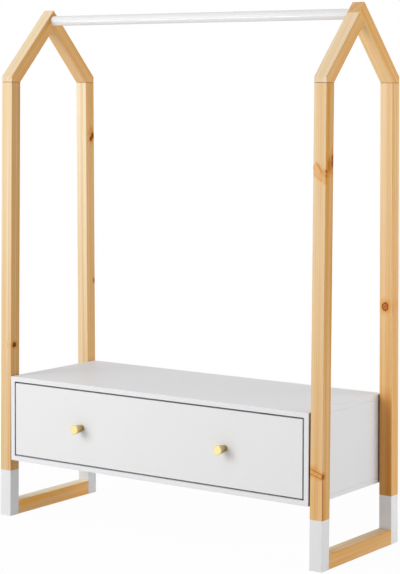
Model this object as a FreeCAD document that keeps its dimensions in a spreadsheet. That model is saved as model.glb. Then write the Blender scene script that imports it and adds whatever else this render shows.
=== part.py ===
"""Children's clothes rack: two house-shaped pine end frames, a round rail and a box with one drawer.

Millimetres, +Z up, +X to the right and +Y to the back, with the origin on the floor under the
middle of the whole rack. Y is drawn from the frames' middle plane, and every body is then moved
back by half of what the knobs add at the front.
"""
import FreeCAD, Part
import os
import re
import Sketcher

SIZES = (
    ("width", 950, "outside of one end frame to outside of the other"),
    ("depth_floor", 344, "outside of front leg to outside of rear leg, on the floor"),
    ("splay", 10, "how far each leg leans in from the floor to its top"),
    ("joint_z", 1089, "height of the joint between legs and rafters"),
    ("frame_x", 33, "thickness of every frame member across the rack"),
    ("leg_depth", 32, "leg section from front to back"),
    ("rafter_width", 33, "rafter section square to its slope"),
    ("roof_angle", 46.2, "slope of the rafters in degrees"),
    ("stretcher_height", 35, "height of the floor stretchers"),
    ("frame_edge", 1.2, "rounding of the frame members' edges, which draws the joint lines"),
    ("fit_gap", 0.1, "clearance round every dowel, bolt, screw and seat"),
    ("dowel_d", 8, "frame and box dowel diameter"),
    ("dowel_length", 40, "frame dowel length"),
    ("dowel_pitch", 15, "distance between the two dowels of a joint"),
    ("ridge_dowel_inset", 9, "ridge dowel to the outside of its frame"),
    ("rail_d", 25, "rail diameter"),
    ("rail_drop", 27, "rail axis below the ridge"),
    ("rail_seat", 12, "rail socket depth"),
    ("rail_chamfer", 1, "bevel on the rail's ends"),
    ("box_z", 143, "underside of the box above the floor"),
    ("box_height", 211, "box height"),
    ("box_front_inset", 0, "box front behind the fronts of the feet"),
    ("box_rear_inset", 9, "back of the box ahead of the backs of the feet"),
    ("panel", 12, "thickness of box boards and drawer front"),
    ("panel_edge", 1, "rounding of the box boards' outer edges"),
    ("spacer", 3, "thickness of the washers between box and legs"),
    ("spacer_d", 16, "outer diameter of those washers"),
    ("back_board", 3, "thickness of the box back"),
    ("back_reveal", 1, "how far the box back stays inside the box outline"),
    ("bolt_d", 6, "box bolt shank"),
    ("bolt_head_d", 10, "box bolt head"),
    ("bolt_head", 4, "box bolt head height"),
    ("bolt_grip", 14, "length of a box bolt inside its leg"),
    ("bolt_inset", 12, "box bolts from the inner faces of the legs"),
    ("bolt_low", 57, "lower bolts above the box floor"),
    ("bolt_high", 23, "upper bolts below the box ceiling"),
    ("insert_d", 10, "threaded insert diameter"),
    ("insert_length", 18, "threaded insert length"),
    ("fixing_inset", 60, "outer box fixings from the front and rear edges"),
    ("fixing_step", 50, "box dowels further in than those fixings"),
    ("box_dowel_head", 9, "length of a box dowel in the top or bottom board"),
    ("box_dowel_tail", 20, "length of a box dowel in a side board"),
    ("cam_d", 15, "cam disc diameter"),
    ("cam_depth", 10, "cam disc thickness"),
    ("cam_drop", 24, "cam centre below the top of its side board"),
    ("cam_bolt_d", 6, "cam bolt diameter"),
    ("cam_bolt_head", 9, "length of a cam bolt in the top board"),
    ("base_screw_d", 5, "base screw shank"),
    ("base_screw_head_d", 10, "base screw head"),
    ("base_screw_head", 4, "base screw head height"),
    ("base_screw_length", 46, "base screw length with its head"),
    ("drawer_gap", 4, "gap round the drawer front"),
    ("drawer_edge", 0.5, "rounding of the drawer front's edges"),
    ("drawer_wall", 12, "thickness of drawer sides and back"),
    ("drawer_lift", 17, "drawer sides above the box floor"),
    ("drawer_headroom", 21, "drawer sides below the box ceiling"),
    ("drawer_board", 3, "drawer bottom thickness"),
    ("drawer_board_lift", 8, "drawer bottom above the lower edge of the sides"),
    ("groove_depth", 6, "grooves that hold the drawer bottom"),
    ("drawer_dowel_d", 6, "dowels between drawer front and sides"),
    ("drawer_dowel_head", 9, "length of a drawer dowel in the front"),
    ("drawer_dowel_tail", 21, "length of a drawer dowel in a side"),
    ("drawer_fixing", 30, "drawer fixings from the edges of the drawer sides"),
    ("back_screw_d", 4, "drawer back screw shank"),
    ("back_screw_head_d", 8, "drawer back screw head"),
    ("back_screw_head", 3, "drawer back screw head height"),
    ("back_screw_length", 40, "drawer back screw length"),
    ("runner_sheet", 1.2, "runner sheet thickness"),
    ("runner_setback", 2, "runners behind the drawer front"),
    ("runner_rear_gap", 18, "runners ahead of the box back"),
    ("runner_foot", 10, "runner flange under the drawer side"),
    ("track_width", 9, "drawer runner flange over the front roller"),
    ("ledge_width", 9.5, "box runner flange under the rear roller"),
    ("lip_width", 6, "box runner flange over the drawer runner"),
    ("lip_gap", 0.8, "drawer runner under that flange"),
    ("ledge_lift", 2, "box runner above the lower edge of the drawer side"),
    ("roller_d", 14, "roller diameter"),
    ("roller_width", 5, "roller width"),
    ("roller_rim", 0.6, "bevel on the roller's rim"),
    ("roller_side_gap", 2.55, "space between a roller and each runner sheet"),
    ("roller_gap", 0.3, "clearance between a roller and its flange"),
    ("roller_inset", 10, "roller axle from the runner's end"),
    ("axle_d", 4, "roller axle diameter"),
    ("axle_play", 0.05, "clearance of a roller on its axle"),
    ("axle_end_play", 0.15, "clearance of a roller along its axle"),
    ("axle_shoulder_d", 7, "roller axle shoulder and head diameter"),
    ("axle_head", 0.8, "roller axle head thickness"),
    ("runner_screw_d", 3, "runner screw shank"),
    ("runner_screw_head_d", 6, "runner screw head"),
    ("runner_screw_head", 1.2, "runner screw head height"),
    ("runner_screw_length", 10, "box runner screw length in the board"),
    ("foot_screw_length", 6, "drawer runner screw length in the drawer side"),
    ("runner_screw_inset", 60, "runner screws from the runner's ends"),
    ("knob_length", 30, "knob length"),
    ("knob_base_d", 15.5, "knob diameter at the drawer front"),
    ("knob_tip_d", 23.5, "knob diameter at its face"),
    ("knob_edge", 1, "bevel round the knob's face"),
    ("knob_screw_d", 4, "knob screw shank"),
    ("knob_screw_head_d", 8, "knob screw head"),
    ("knob_screw_head", 2.5, "knob screw head height"),
    ("knob_screw_grip", 12, "length of a knob screw inside its knob"),
)
NAMES = {name for name, _, _ in SIZES}
SIDES = {"left": -1, "right": 1}
ENDS = {"front": -1, "rear": 1}
NORMAL = {"XY_Plane": 1, "XZ_Plane": -1, "YZ_Plane": 1}
# Lengths below this count as nothing when edges are told apart.
NOTHING = 0.001

# Places across the rack, each measured from the middle.
FRAME_X = "(width / 2 - frame_x)"
FRAME_MID_X = "(width / 2 - frame_x / 2)"
BOX_X = f"({FRAME_X} - spacer)"
CELL_X = f"({BOX_X} - panel)"
BOARD_MID_X = f"({BOX_X} - panel / 2)"
RUNNER_SPACE = "(2 * runner_sheet + 2 * roller_side_gap + roller_width)"
WALL_X = f"({CELL_X} - {RUNNER_SPACE})"
DRAWER_X = f"({WALL_X} - drawer_wall)"
FRONT_X = f"({CELL_X} - drawer_gap)"
KNOB_X = f"({FRONT_X} / 2)"

# Places from front to back, measured from the frames' middle plane.
MIDDLE_Y = "((knob_length - box_front_inset) / 2)"
JOINT_Y = "(depth_floor / 2 - splay)"
LEG_FOOT_Y = "(depth_floor / 2 - leg_depth)"
BOX_FRONT_Y = "(box_front_inset - depth_floor / 2)"
BOX_REAR_Y = "(depth_floor / 2 - box_rear_inset - back_board)"
FRONT_BACK_Y = f"({BOX_FRONT_Y} + panel)"
RUNNER_START_Y = f"({FRONT_BACK_Y} + runner_setback)"
RUNNER_END_Y = f"({BOX_REAR_Y} - runner_rear_gap)"
RUNNER_LENGTH = f"({RUNNER_END_Y} - {RUNNER_START_Y})"
FRONT_ROLLER_Y = f"({RUNNER_START_Y} + roller_inset)"
REAR_ROLLER_Y = f"({RUNNER_END_Y} - roller_inset)"

# Heights.
SLOPE = "tan(roof_angle)"
RAFTER_DROP = "(rafter_width / cos(roof_angle))"
INNER_RIDGE_Z = f"(joint_z + ({JOINT_Y} - leg_depth) * {SLOPE})"
RIDGE_Z = f"({INNER_RIDGE_Z} + {RAFTER_DROP})"
BEND_Z = f"(joint_z - leg_depth * {SLOPE} + {RAFTER_DROP})"
RAIL_Z = f"({RIDGE_Z} - rail_drop)"
FLOOR_Z = "(box_z + panel)"
BOX_TOP_Z = "(box_z + box_height)"
CEILING_Z = f"({BOX_TOP_Z} - panel)"
WALL_Z = f"({FLOOR_Z} + drawer_lift)"
WALL_TOP_Z = f"({CEILING_Z} - drawer_headroom)"
BOARD_Z = f"({WALL_Z} + drawer_board_lift)"
LEDGE_Z = f"({WALL_Z} + ledge_lift + runner_sheet)"
REAR_ROLLER_Z = f"({LEDGE_Z} + roller_gap + roller_d / 2)"
FRONT_ROLLER_Z = f"({LEDGE_Z} + 2 * roller_gap + roller_d / 2)"
TRACK_Z = f"({FRONT_ROLLER_Z} + roller_d / 2 + roller_gap)"
LIP_Z = f"({TRACK_Z} + runner_sheet + lip_gap)"
KNOB_Z = f"(({FLOOR_Z} + {CEILING_Z}) / 2)"
BOLT_HEIGHTS = (f"({FLOOR_Z} + bolt_low)", f"({CEILING_Z} - bolt_high)")
STRETCHER_MID_Z = "(stretcher_height / 2)"

# Box fixings from front to back.
OUTER_FIXINGS = (f"({BOX_FRONT_Y} + fixing_inset)", f"({BOX_REAR_Y} - fixing_inset)")
INNER_FIXINGS = (f"({BOX_FRONT_Y} + fixing_inset + fixing_step)",
                 f"({BOX_REAR_Y} - fixing_inset - fixing_step)")

# The ridge joint: half of the through rafter's cut face, seen along the rack.
RIDGE_CUT_Y = "(rafter_width / (2 * sin(roof_angle)))"
RIDGE_CUT_Z = f"({RIDGE_Z} - {RAFTER_DROP} / 2)"
RAIL_TO_JOINT = "(rafter_width - rail_drop * cos(roof_angle))"
RAIL_SOCKET = "(rail_d / 2 + fit_gap)"

doc = FreeCAD.newDocument("clothes_rack")
sheet = doc.addObject("Spreadsheet::Sheet", "Sizes")
for row, (name, number, note) in enumerate(SIZES, 1):
    sheet.set(f"A{row}", name)
    sheet.set(f"B{row}", str(number))
    sheet.set(f"C{row}", note)
    sheet.setAlias(f"B{row}", name)
doc.recompute()


def ref(text):
    """An expression with every size in it pointed at the sheet."""
    return re.sub(r"[a-z][a-z0-9_]*", lambda word: f"Sizes.{word[0]}" if word[0] in NAMES else word[0], text)


def value(text):
    """What an expression comes to with the sheet as it stands."""
    return float(sheet.evalExpression(ref(text)))


def new_body(label):
    """An empty body, moved back so that the origin lies under the middle of the rack."""
    made = doc.addObject("PartDesign::Body", label)
    made.Label = label
    made.AllowCompound = True
    made.setExpression("Placement.Base.y", ref(MIDDLE_Y))
    return made


def sketch_on(made, plane, at):
    """A sketch on one of the body's origin planes, moved to a place along that plane's axis."""
    sketch = made.newObject("Sketcher::SketchObject", f"{made.Label}_sketch")
    support = next(item for item in made.Origin.OriginFeatures if item.Role == plane)
    sketch.AttachmentSupport = [(support, "")]
    sketch.MapMode = "FlatFace"
    sketch.setExpression("AttachmentOffset.Base.z", ref(f"{NORMAL[plane]} * ({at})"))
    return sketch


def hold(sketch, kind, item, point, text):
    """Tie one coordinate of a sketch point to an expression."""
    if text == "0":
        axis = -2 if kind == "DistanceX" else -1
        sketch.addConstraint(Sketcher.Constraint("PointOnObject", item, point, axis))
        return
    index = sketch.addConstraint(Sketcher.Constraint(kind, item, point, value(text)))
    sketch.setExpression(f"Constraints[{index}]", ref(text))


def draw_outline(sketch, points):
    """A closed outline whose corners are pairs of expressions."""
    first = sketch.GeometryCount
    places = [FreeCAD.Vector(value(across), value(up), 0) for across, up in points]
    count = len(points)
    for i in range(count):
        sketch.addGeometry(Part.LineSegment(places[i], places[(i + 1) % count]))
    for i in range(count):
        sketch.addConstraint(Sketcher.Constraint("Coincident", first + i, 2, first + (i + 1) % count, 1))
    for i, (across, up) in enumerate(points):
        hold(sketch, "DistanceX", first + i, 1, across)
        hold(sketch, "DistanceY", first + i, 1, up)


def draw_circle(sketch, across, up, radius):
    """A circle whose centre and radius are expressions."""
    place = FreeCAD.Vector(value(across), value(up), 0)
    item = sketch.addGeometry(Part.Circle(place, FreeCAD.Vector(0, 0, 1), value(radius)))
    hold(sketch, "DistanceX", item, 3, across)
    hold(sketch, "DistanceY", item, 3, up)
    index = sketch.addConstraint(Sketcher.Constraint("Radius", item, value(radius)))
    sketch.setExpression(f"Constraints[{index}]", ref(radius))


def draw(sketch, outlines, circles):
    """All the outlines and circles of one sketch."""
    for points in outlines:
        draw_outline(sketch, points)
    for across, up, radius in circles:
        draw_circle(sketch, across, up, radius)


def pad(made, plane, at, length, outlines=(), circles=(), grow=1):
    """Material from a sketch at a place along an axis, growing up or down that axis."""
    sketch = sketch_on(made, plane, at)
    draw(sketch, outlines, circles)
    feature = made.newObject("PartDesign::Pad", f"{made.Label}_pad")
    feature.Profile = sketch
    feature.Reversed = grow * NORMAL[plane] < 0
    feature.setExpression("Length", ref(length))
    doc.recompute()


def cut_sketch(made, sketch, length, reverse, symmetric=False):
    """Material taken away along a sketch's normal, with the volume checked."""
    before = made.Shape.Volume
    feature = made.newObject("PartDesign::Pocket", f"{made.Label}_cut")
    feature.Profile = sketch
    feature.Reversed = reverse
    feature.Midplane = symmetric
    feature.setExpression("Length", ref(length))
    doc.recompute()
    if before - made.Shape.Volume < NOTHING:
        raise RuntimeError(f"a cut in {made.Label} takes nothing away")


def cut(made, plane, at, length, outlines=(), circles=(), grow=1):
    """Holes or grooves that start at a place along an axis and run up or down that axis."""
    sketch = sketch_on(made, plane, at)
    draw(sketch, outlines, circles)
    cut_sketch(made, sketch, length, grow * NORMAL[plane] > 0)


def round_edges(made, radius, chosen, kind="Fillet"):
    """Round or bevel the edges of the body so far that a test picks."""
    base = made.Tip
    names = [f"Edge{i}" for i, edge in enumerate(base.Shape.Edges, 1) if chosen(edge)]
    feature = made.newObject(f"PartDesign::{kind}", f"{made.Label}_edge")
    feature.Base = (base, names)
    feature.setExpression("Radius" if kind == "Fillet" else "Size", ref(radius))
    doc.recompute()


def rectangle(low_u, high_u, low_v, high_v):
    """The four corners of an upright rectangle."""
    return [(low_u, low_v), (high_u, low_v), (high_u, high_v), (low_u, high_v)]


def spans(edge):
    """How far an edge reaches along X, Y and Z."""
    box = edge.BoundBox
    return box.XLength, box.YLength, box.ZLength


def is_straight_along(edge, axis):
    """Whether an edge runs along one axis only, 0 for X, 1 for Y and 2 for Z."""
    reach = spans(edge)
    return reach[axis] > NOTHING and all(reach[i] < NOTHING for i in range(3) if i != axis)


def at_height(edge, text):
    """Whether an edge lies flat at a height."""
    box = edge.BoundBox
    level = value(text)
    return abs(box.ZMin - level) < NOTHING and abs(box.ZMax - level) < NOTHING


# End frames

def frame_start(side):
    """The X at which a frame's members start, for padding to the right."""
    return "-width / 2" if side < 0 else FRAME_X


def pair_x(side):
    """The two dowel places across a frame member."""
    return [f"({side} * {FRAME_MID_X} + {step} * dowel_pitch / 2)" for step in (-1, 1)]


def bolt_y(end, height):
    """A box bolt's place in a leg at a height, which follows the leg's lean."""
    return f"({end} * ({LEG_FOOT_Y} + bolt_inset - splay * {height} / joint_z))"


DOWEL_HOLE = "dowel_d / 2 + fit_gap"
DOWEL_HOLE_DEPTH = "dowel_length / 2 + fit_gap"
JOINT_DOWEL_Y = f"({JOINT_Y} - leg_depth / 2)"


def leg(side_name, end_name):
    """A leg: a leaning pine post cut level at both ends."""
    side, end = SIDES[side_name], ENDS[end_name]
    made = new_body(f"{side_name}_{end_name}_leg")
    outline = [(f"{end} * depth_floor / 2", "0"), (f"{end} * {LEG_FOOT_Y}", "0"),
               (f"{end} * ({JOINT_Y} - leg_depth)", "joint_z"), (f"{end} * {JOINT_Y}", "joint_z")]
    pad(made, "YZ_Plane", frame_start(side), "frame_x", [outline])
    round_edges(made, "frame_edge", lambda edge: spans(edge)[2] > NOTHING or at_height(edge, "joint_z"))
    # Dowel holes for the rafter in the top, and for the stretcher in the inner face.
    cut(made, "XY_Plane", "joint_z", DOWEL_HOLE_DEPTH, grow=-1,
        circles=[(x, f"{end} * {JOINT_DOWEL_Y}", DOWEL_HOLE) for x in pair_x(side)])
    cut(made, "XZ_Plane", f"{end} * ({LEG_FOOT_Y} - splay)", f"splay + {DOWEL_HOLE_DEPTH}", grow=end,
        circles=[(x, STRETCHER_MID_Z, DOWEL_HOLE) for x in pair_x(side)])
    # Seats of the threaded inserts that take the box bolts.
    cut(made, "YZ_Plane", f"{side} * {FRAME_X}", "insert_length", grow=side,
        circles=[(bolt_y(end, z), z, "insert_d / 2 + fit_gap") for z in BOLT_HEIGHTS])
    return made


def ridge_sketch(made, through_end):
    """A sketch in the ridge joint's face, on the side of the rafter that runs through."""
    sketch = sketch_on(made, "XY_Plane", f"({INNER_RIDGE_Z} + {RIDGE_CUT_Z}) / 2")
    tilt = f"{-through_end} * roof_angle"
    turn = FreeCAD.Rotation(FreeCAD.Vector(1, 0, 0), value(tilt))
    sketch.AttachmentOffset = FreeCAD.Placement(FreeCAD.Vector(), turn)
    sketch.setExpression("AttachmentOffset.Base.y", ref(f"{-through_end} * {RIDGE_CUT_Y} / 2"))
    sketch.setExpression("AttachmentOffset.Rotation.Angle", ref(tilt))
    return sketch


def rafter(side_name, end_name):
    """A rafter; the two frames are alike, one turned round, so the through rafter changes ends."""
    side, end = SIDES[side_name], ENDS[end_name]
    through_end = side
    made = new_body(f"{side_name}_{end_name}_rafter")
    foot = [(f"{end} * ({JOINT_Y} - leg_depth)", "joint_z"), (f"{end} * {JOINT_Y}", "joint_z"),
            (f"{end} * {JOINT_Y}", BEND_Z)]
    if end == through_end:
        head = [("0", RIDGE_Z), (f"{-end} * {RIDGE_CUT_Y}", RIDGE_CUT_Z)]
    else:
        head = [(f"{end} * {RIDGE_CUT_Y}", RIDGE_CUT_Z), ("0", INNER_RIDGE_Z)]
    pad(made, "YZ_Plane", frame_start(side), "frame_x", [foot + head])
    round_edges(made, "frame_edge", lambda edge: shows_on_rafter(edge, end, through_end))
    cut(made, "XY_Plane", "joint_z", DOWEL_HOLE_DEPTH,
        circles=[(x, f"{end} * {JOINT_DOWEL_Y}", DOWEL_HOLE) for x in pair_x(side)])
    # The rail's socket lies in the through rafter, and in the other one only if it reaches past the joint.
    if end == through_end or value(RAIL_TO_JOINT) < value(RAIL_SOCKET):
        cut(made, "YZ_Plane", f"{side} * {FRAME_X}", "rail_seat", grow=side,
            circles=[("0", RAIL_Z, RAIL_SOCKET)])
    sketch = ridge_sketch(made, through_end)
    draw_circle(sketch, f"{side} * (width / 2 - ridge_dowel_inset)", "0", DOWEL_HOLE)
    cut_sketch(made, sketch, f"2 * ({DOWEL_HOLE_DEPTH})", False, symmetric=True)
    return made


def shows_on_rafter(edge, end, through_end):
    """Whether a rafter edge is a long one, at the leg joint or at the outside of the ridge joint."""
    if at_height(edge, "joint_z"):
        return True
    if is_straight_along(edge, 0):
        return end != through_end and at_height(edge, RIDGE_CUT_Z)
    return spans(edge)[2] > NOTHING


def stretcher(side_name):
    """The floor stretcher between the two legs of a frame."""
    side = SIDES[side_name]
    made = new_body(f"{side_name}_stretcher")
    top_y = f"({LEG_FOOT_Y} - splay * stretcher_height / joint_z)"
    outline = [(f"-1 * {LEG_FOOT_Y}", "0"), (LEG_FOOT_Y, "0"), (top_y, "stretcher_height"),
               (f"-1 * {top_y}", "stretcher_height")]
    pad(made, "YZ_Plane", frame_start(side), "frame_x", [outline])
    round_edges(made, "frame_edge", lambda edge: is_straight_along(edge, 1))
    for end in ENDS.values():
        cut(made, "XZ_Plane", f"{end} * {LEG_FOOT_Y}", DOWEL_HOLE_DEPTH, grow=-end,
            circles=[(x, STRETCHER_MID_Z, DOWEL_HOLE) for x in pair_x(side)])
    return made


def leg_dowels():
    """The dowels that stand in the joints between legs and rafters."""
    made = new_body("leg_dowels")
    places = [(x, f"{end} * {JOINT_DOWEL_Y}", "dowel_d / 2")
              for side in SIDES.values() for end in ENDS.values() for x in pair_x(side)]
    pad(made, "XY_Plane", "joint_z - dowel_length / 2", "dowel_length", circles=places)
    return made


def stretcher_dowels():
    """The dowels that join the stretchers to the feet."""
    made = new_body("stretcher_dowels")
    places = [(x, STRETCHER_MID_Z, "dowel_d / 2") for side in SIDES.values() for x in pair_x(side)]
    for end in ENDS.values():
        pad(made, "XZ_Plane", f"{end} * {LEG_FOOT_Y} - dowel_length / 2", "dowel_length", circles=places)
    return made


def ridge_dowels():
    """The dowels that pin the ridge joints, square to the joint faces."""
    made = new_body("ridge_dowels")
    for side in SIDES.values():
        sketch = ridge_sketch(made, side)
        draw_circle(sketch, f"{side} * (width / 2 - ridge_dowel_inset)", "0", "dowel_d / 2")
        feature = made.newObject("PartDesign::Pad", "ridge_dowel_pad")
        feature.Profile = sketch
        feature.Midplane = True
        feature.setExpression("Length", ref("dowel_length"))
        doc.recompute()
    return made


def clothes_rail():
    """The round rail, seated in blind sockets under the ridges."""
    made = new_body("clothes_rail")
    pad(made, "YZ_Plane", f"-1 * ({FRAME_X} + rail_seat)", f"2 * ({FRAME_X} + rail_seat)",
        circles=[("0", RAIL_Z, "rail_d / 2")])
    round_edges(made, "rail_chamfer", lambda edge: spans(edge)[0] < NOTHING, kind="Chamfer")
    return made


# Box

def is_at_box_end(edge):
    """Whether an edge lies in one of the box's two outer side faces."""
    box = edge.BoundBox
    return box.XLength < NOTHING and abs(abs(box.Center.x) - value(BOX_X)) < NOTHING


def box_board(label, low_z):
    """The top or the bottom board, which run the full width over and under the sides."""
    made = new_body(label)
    outline = rectangle(f"-1 * {BOX_X}", BOX_X, BOX_FRONT_Y, BOX_REAR_Y)
    pad(made, "XY_Plane", low_z, "panel", [outline])
    return made


def both_sides(places_x, places_y, radius):
    """Circles at every pair of an X place, on both sides, and a Y place."""
    return [(f"{side} * {places_x}", y, radius) for side in SIDES.values() for y in places_y]


def box_top():
    """The top board, held by cam bolts and dowels from below."""
    made = box_board("box_top", CEILING_Z)
    round_edges(made, "panel_edge", lambda edge: at_height(edge, BOX_TOP_Z) or is_at_box_end(edge))
    cut(made, "XY_Plane", CEILING_Z, "cam_bolt_head + fit_gap",
        circles=both_sides(BOARD_MID_X, OUTER_FIXINGS, "cam_bolt_d / 2 + fit_gap"))
    cut(made, "XY_Plane", CEILING_Z, "box_dowel_head + fit_gap",
        circles=both_sides(BOARD_MID_X, INNER_FIXINGS, DOWEL_HOLE))
    return made


def box_bottom():
    """The bottom board, screwed and dowelled to the sides from below."""
    made = box_board("box_bottom", "box_z")
    round_edges(made, "panel_edge", lambda edge: at_height(edge, "box_z") or is_at_box_end(edge))
    cut(made, "XY_Plane", "box_z", "panel",
        circles=both_sides(BOARD_MID_X, OUTER_FIXINGS, "base_screw_d / 2 + fit_gap"))
    cut(made, "XY_Plane", "box_z", "base_screw_head",
        circles=both_sides(BOARD_MID_X, OUTER_FIXINGS, "base_screw_head_d / 2 + fit_gap"))
    cut(made, "XY_Plane", FLOOR_Z, "box_dowel_head + fit_gap", grow=-1,
        circles=both_sides(BOARD_MID_X, INNER_FIXINGS, DOWEL_HOLE))
    return made


def bolt_places():
    """Every box bolt's place, front to back and in height."""
    return [(bolt_y(end, z), z) for end in ENDS.values() for z in BOLT_HEIGHTS]


def runner_screw_places():
    """Where the screws of a runner stand along it."""
    return [f"({RUNNER_START_Y} + runner_screw_inset)", f"({RUNNER_END_Y} - runner_screw_inset)"]


def box_side(side_name):
    """A side board, bored for bolts, cams, dowels, base screws and runner screws."""
    side = SIDES[side_name]
    made = new_body(f"box_{side_name}_side")
    start = f"-1 * {BOX_X}" if side < 0 else CELL_X
    pad(made, "YZ_Plane", start, "panel", [rectangle(BOX_FRONT_Y, BOX_REAR_Y, FLOOR_Z, CEILING_Z)])
    round_edges(made, "panel_edge", is_at_box_end)
    inner_face = f"{side} * {CELL_X}"
    middle = f"{side} * {BOARD_MID_X}"
    cut(made, "YZ_Plane", inner_face, "panel", grow=side,
        circles=[(y, z, "bolt_d / 2 + fit_gap") for y, z in bolt_places()])
    cut(made, "YZ_Plane", inner_face, "bolt_head", grow=side,
        circles=[(y, z, "bolt_head_d / 2 + fit_gap") for y, z in bolt_places()])
    cut(made, "XY_Plane", CEILING_Z, "cam_drop", grow=-1,
        circles=[(middle, y, "cam_bolt_d / 2 + fit_gap") for y in OUTER_FIXINGS])
    cut(made, "YZ_Plane", inner_face, "cam_depth + fit_gap", grow=side,
        circles=[(y, f"{CEILING_Z} - cam_drop", "cam_d / 2 + fit_gap") for y in OUTER_FIXINGS])
    cut(made, "XY_Plane", CEILING_Z, "box_dowel_tail + fit_gap", grow=-1,
        circles=[(middle, y, DOWEL_HOLE) for y in INNER_FIXINGS])
    cut(made, "XY_Plane", FLOOR_Z, "box_dowel_tail + fit_gap",
        circles=[(middle, y, DOWEL_HOLE) for y in INNER_FIXINGS])
    cut(made, "XY_Plane", FLOOR_Z, "base_screw_length - panel + fit_gap",
        circles=[(middle, y, "base_screw_d / 2 + fit_gap") for y in OUTER_FIXINGS])
    cut(made, "YZ_Plane", inner_face, "runner_screw_length + fit_gap", grow=side,
        circles=[(y, REAR_ROLLER_Z, "runner_screw_d / 2 + fit_gap") for y in runner_screw_places()])
    return made


def box_back():
    """The thin back board on the rear edges of the box."""
    made = new_body("box_back")
    outline = rectangle(f"back_reveal - {BOX_X}", f"{BOX_X} - back_reveal", "box_z + back_reveal",
                        f"{BOX_TOP_Z} - back_reveal")
    pad(made, "XZ_Plane", BOX_REAR_Y, "back_board", [outline])
    return made


def box_dowels():
    """The dowels between the side boards and the top and bottom boards."""
    made = new_body("box_dowels")
    places = both_sides(BOARD_MID_X, INNER_FIXINGS, "dowel_d / 2")
    length = "box_dowel_head + box_dowel_tail"
    pad(made, "XY_Plane", f"{CEILING_Z} - box_dowel_tail", length, circles=places)
    pad(made, "XY_Plane", f"{FLOOR_Z} - box_dowel_head", length, circles=places)
    return made


def cam_discs():
    """The cam discs in the side boards, each bored for its bolt."""
    made = new_body("cam_discs")
    height = f"{CEILING_Z} - cam_drop"
    for side in SIDES.values():
        pad(made, "YZ_Plane", f"{side} * {CELL_X}", "cam_depth", grow=side,
            circles=[(y, height, "cam_d / 2") for y in OUTER_FIXINGS])
    cut(made, "XY_Plane", CEILING_Z, "cam_drop + fit_gap", grow=-1,
        circles=both_sides(BOARD_MID_X, OUTER_FIXINGS, "cam_bolt_d / 2 + fit_gap"))
    return made


def cam_bolts():
    """The bolts that stand in the top board and reach down into the cams."""
    made = new_body("cam_bolts")
    pad(made, "XY_Plane", f"{CEILING_Z} - cam_drop", "cam_drop + cam_bolt_head",
        circles=both_sides(BOARD_MID_X, OUTER_FIXINGS, "cam_bolt_d / 2"))
    return made


def base_screws():
    """The screws that go up through the bottom board into the sides."""
    made = new_body("base_screws")
    pad(made, "XY_Plane", "box_z", "base_screw_head",
        circles=both_sides(BOARD_MID_X, OUTER_FIXINGS, "base_screw_head_d / 2"))
    pad(made, "XY_Plane", "box_z", "base_screw_length",
        circles=both_sides(BOARD_MID_X, OUTER_FIXINGS, "base_screw_d / 2"))
    return made


def box_spacers():
    """The washers that keep the box clear of the legs."""
    made = new_body("box_spacers")
    rings = [(y, z, radius) for y, z in bolt_places() for radius in ("spacer_d / 2", "bolt_d / 2 + fit_gap")]
    for side in SIDES.values():
        pad(made, "YZ_Plane", f"{side} * {BOX_X}", "spacer", circles=rings, grow=side)
    return made


def box_bolts():
    """The bolts that go out of the box into the legs."""
    made = new_body("box_bolts")
    for side in SIDES.values():
        pad(made, "YZ_Plane", f"{side} * {CELL_X}", "bolt_head", grow=side,
            circles=[(y, z, "bolt_head_d / 2") for y, z in bolt_places()])
        pad(made, "YZ_Plane", f"{side} * {CELL_X}", "panel + spacer + bolt_grip", grow=side,
            circles=[(y, z, "bolt_d / 2") for y, z in bolt_places()])
    return made


def leg_inserts():
    """The threaded inserts in the legs."""
    made = new_body("leg_inserts")
    rings = [(y, z, radius) for y, z in bolt_places() for radius in ("insert_d / 2", "bolt_d / 2 + fit_gap")]
    for side in SIDES.values():
        pad(made, "YZ_Plane", f"{side} * {FRAME_X}", "insert_length", circles=rings, grow=side)
    return made


# Roller runners

def box_runner(side_name):
    """The channel on a box side: a ledge for the rear roller and a lip that stops tipping."""
    side = SIDES[side_name]
    made = new_body(f"{side_name}_box_runner")
    web = f"({CELL_X} - runner_sheet)"
    low = f"({LEDGE_Z} - runner_sheet)"
    outline = [(CELL_X, low), (CELL_X, f"{LIP_Z} + runner_sheet"),
               (f"{CELL_X} - lip_width", f"{LIP_Z} + runner_sheet"), (f"{CELL_X} - lip_width", LIP_Z),
               (web, LIP_Z), (web, LEDGE_Z), (f"{CELL_X} - ledge_width", LEDGE_Z),
               (f"{CELL_X} - ledge_width", low)]
    pad(made, "XZ_Plane", RUNNER_START_Y, RUNNER_LENGTH, [[(f"{side} * ({x})", z) for x, z in outline]])
    cut(made, "YZ_Plane", f"{side} * {CELL_X}", "runner_sheet", grow=-side,
        circles=[(y, REAR_ROLLER_Z, "runner_screw_d / 2 + fit_gap") for y in runner_screw_places()])
    return made


def drawer_runner(side_name):
    """The angle on a drawer side: a foot under it and a track that runs on the front roller."""
    side = SIDES[side_name]
    made = new_body(f"{side_name}_drawer_runner")
    web = f"({WALL_X} + runner_sheet)"
    top = f"({TRACK_Z} + runner_sheet)"
    outline = [(f"{WALL_X} - runner_foot", f"{WALL_Z} - runner_sheet"), (web, f"{WALL_Z} - runner_sheet"),
               (web, TRACK_Z), (f"{WALL_X} + track_width", TRACK_Z), (f"{WALL_X} + track_width", top),
               (WALL_X, top), (WALL_X, WALL_Z), (f"{WALL_X} - runner_foot", WALL_Z)]
    pad(made, "XZ_Plane", RUNNER_START_Y, RUNNER_LENGTH, [[(f"{side} * ({x})", z) for x, z in outline]])
    cut(made, "XY_Plane", WALL_Z, "runner_sheet", grow=-1,
        circles=[(f"{side} * ({WALL_X} - drawer_wall / 2)", y, "runner_screw_d / 2 + fit_gap")
                 for y in runner_screw_places()])
    return made


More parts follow.
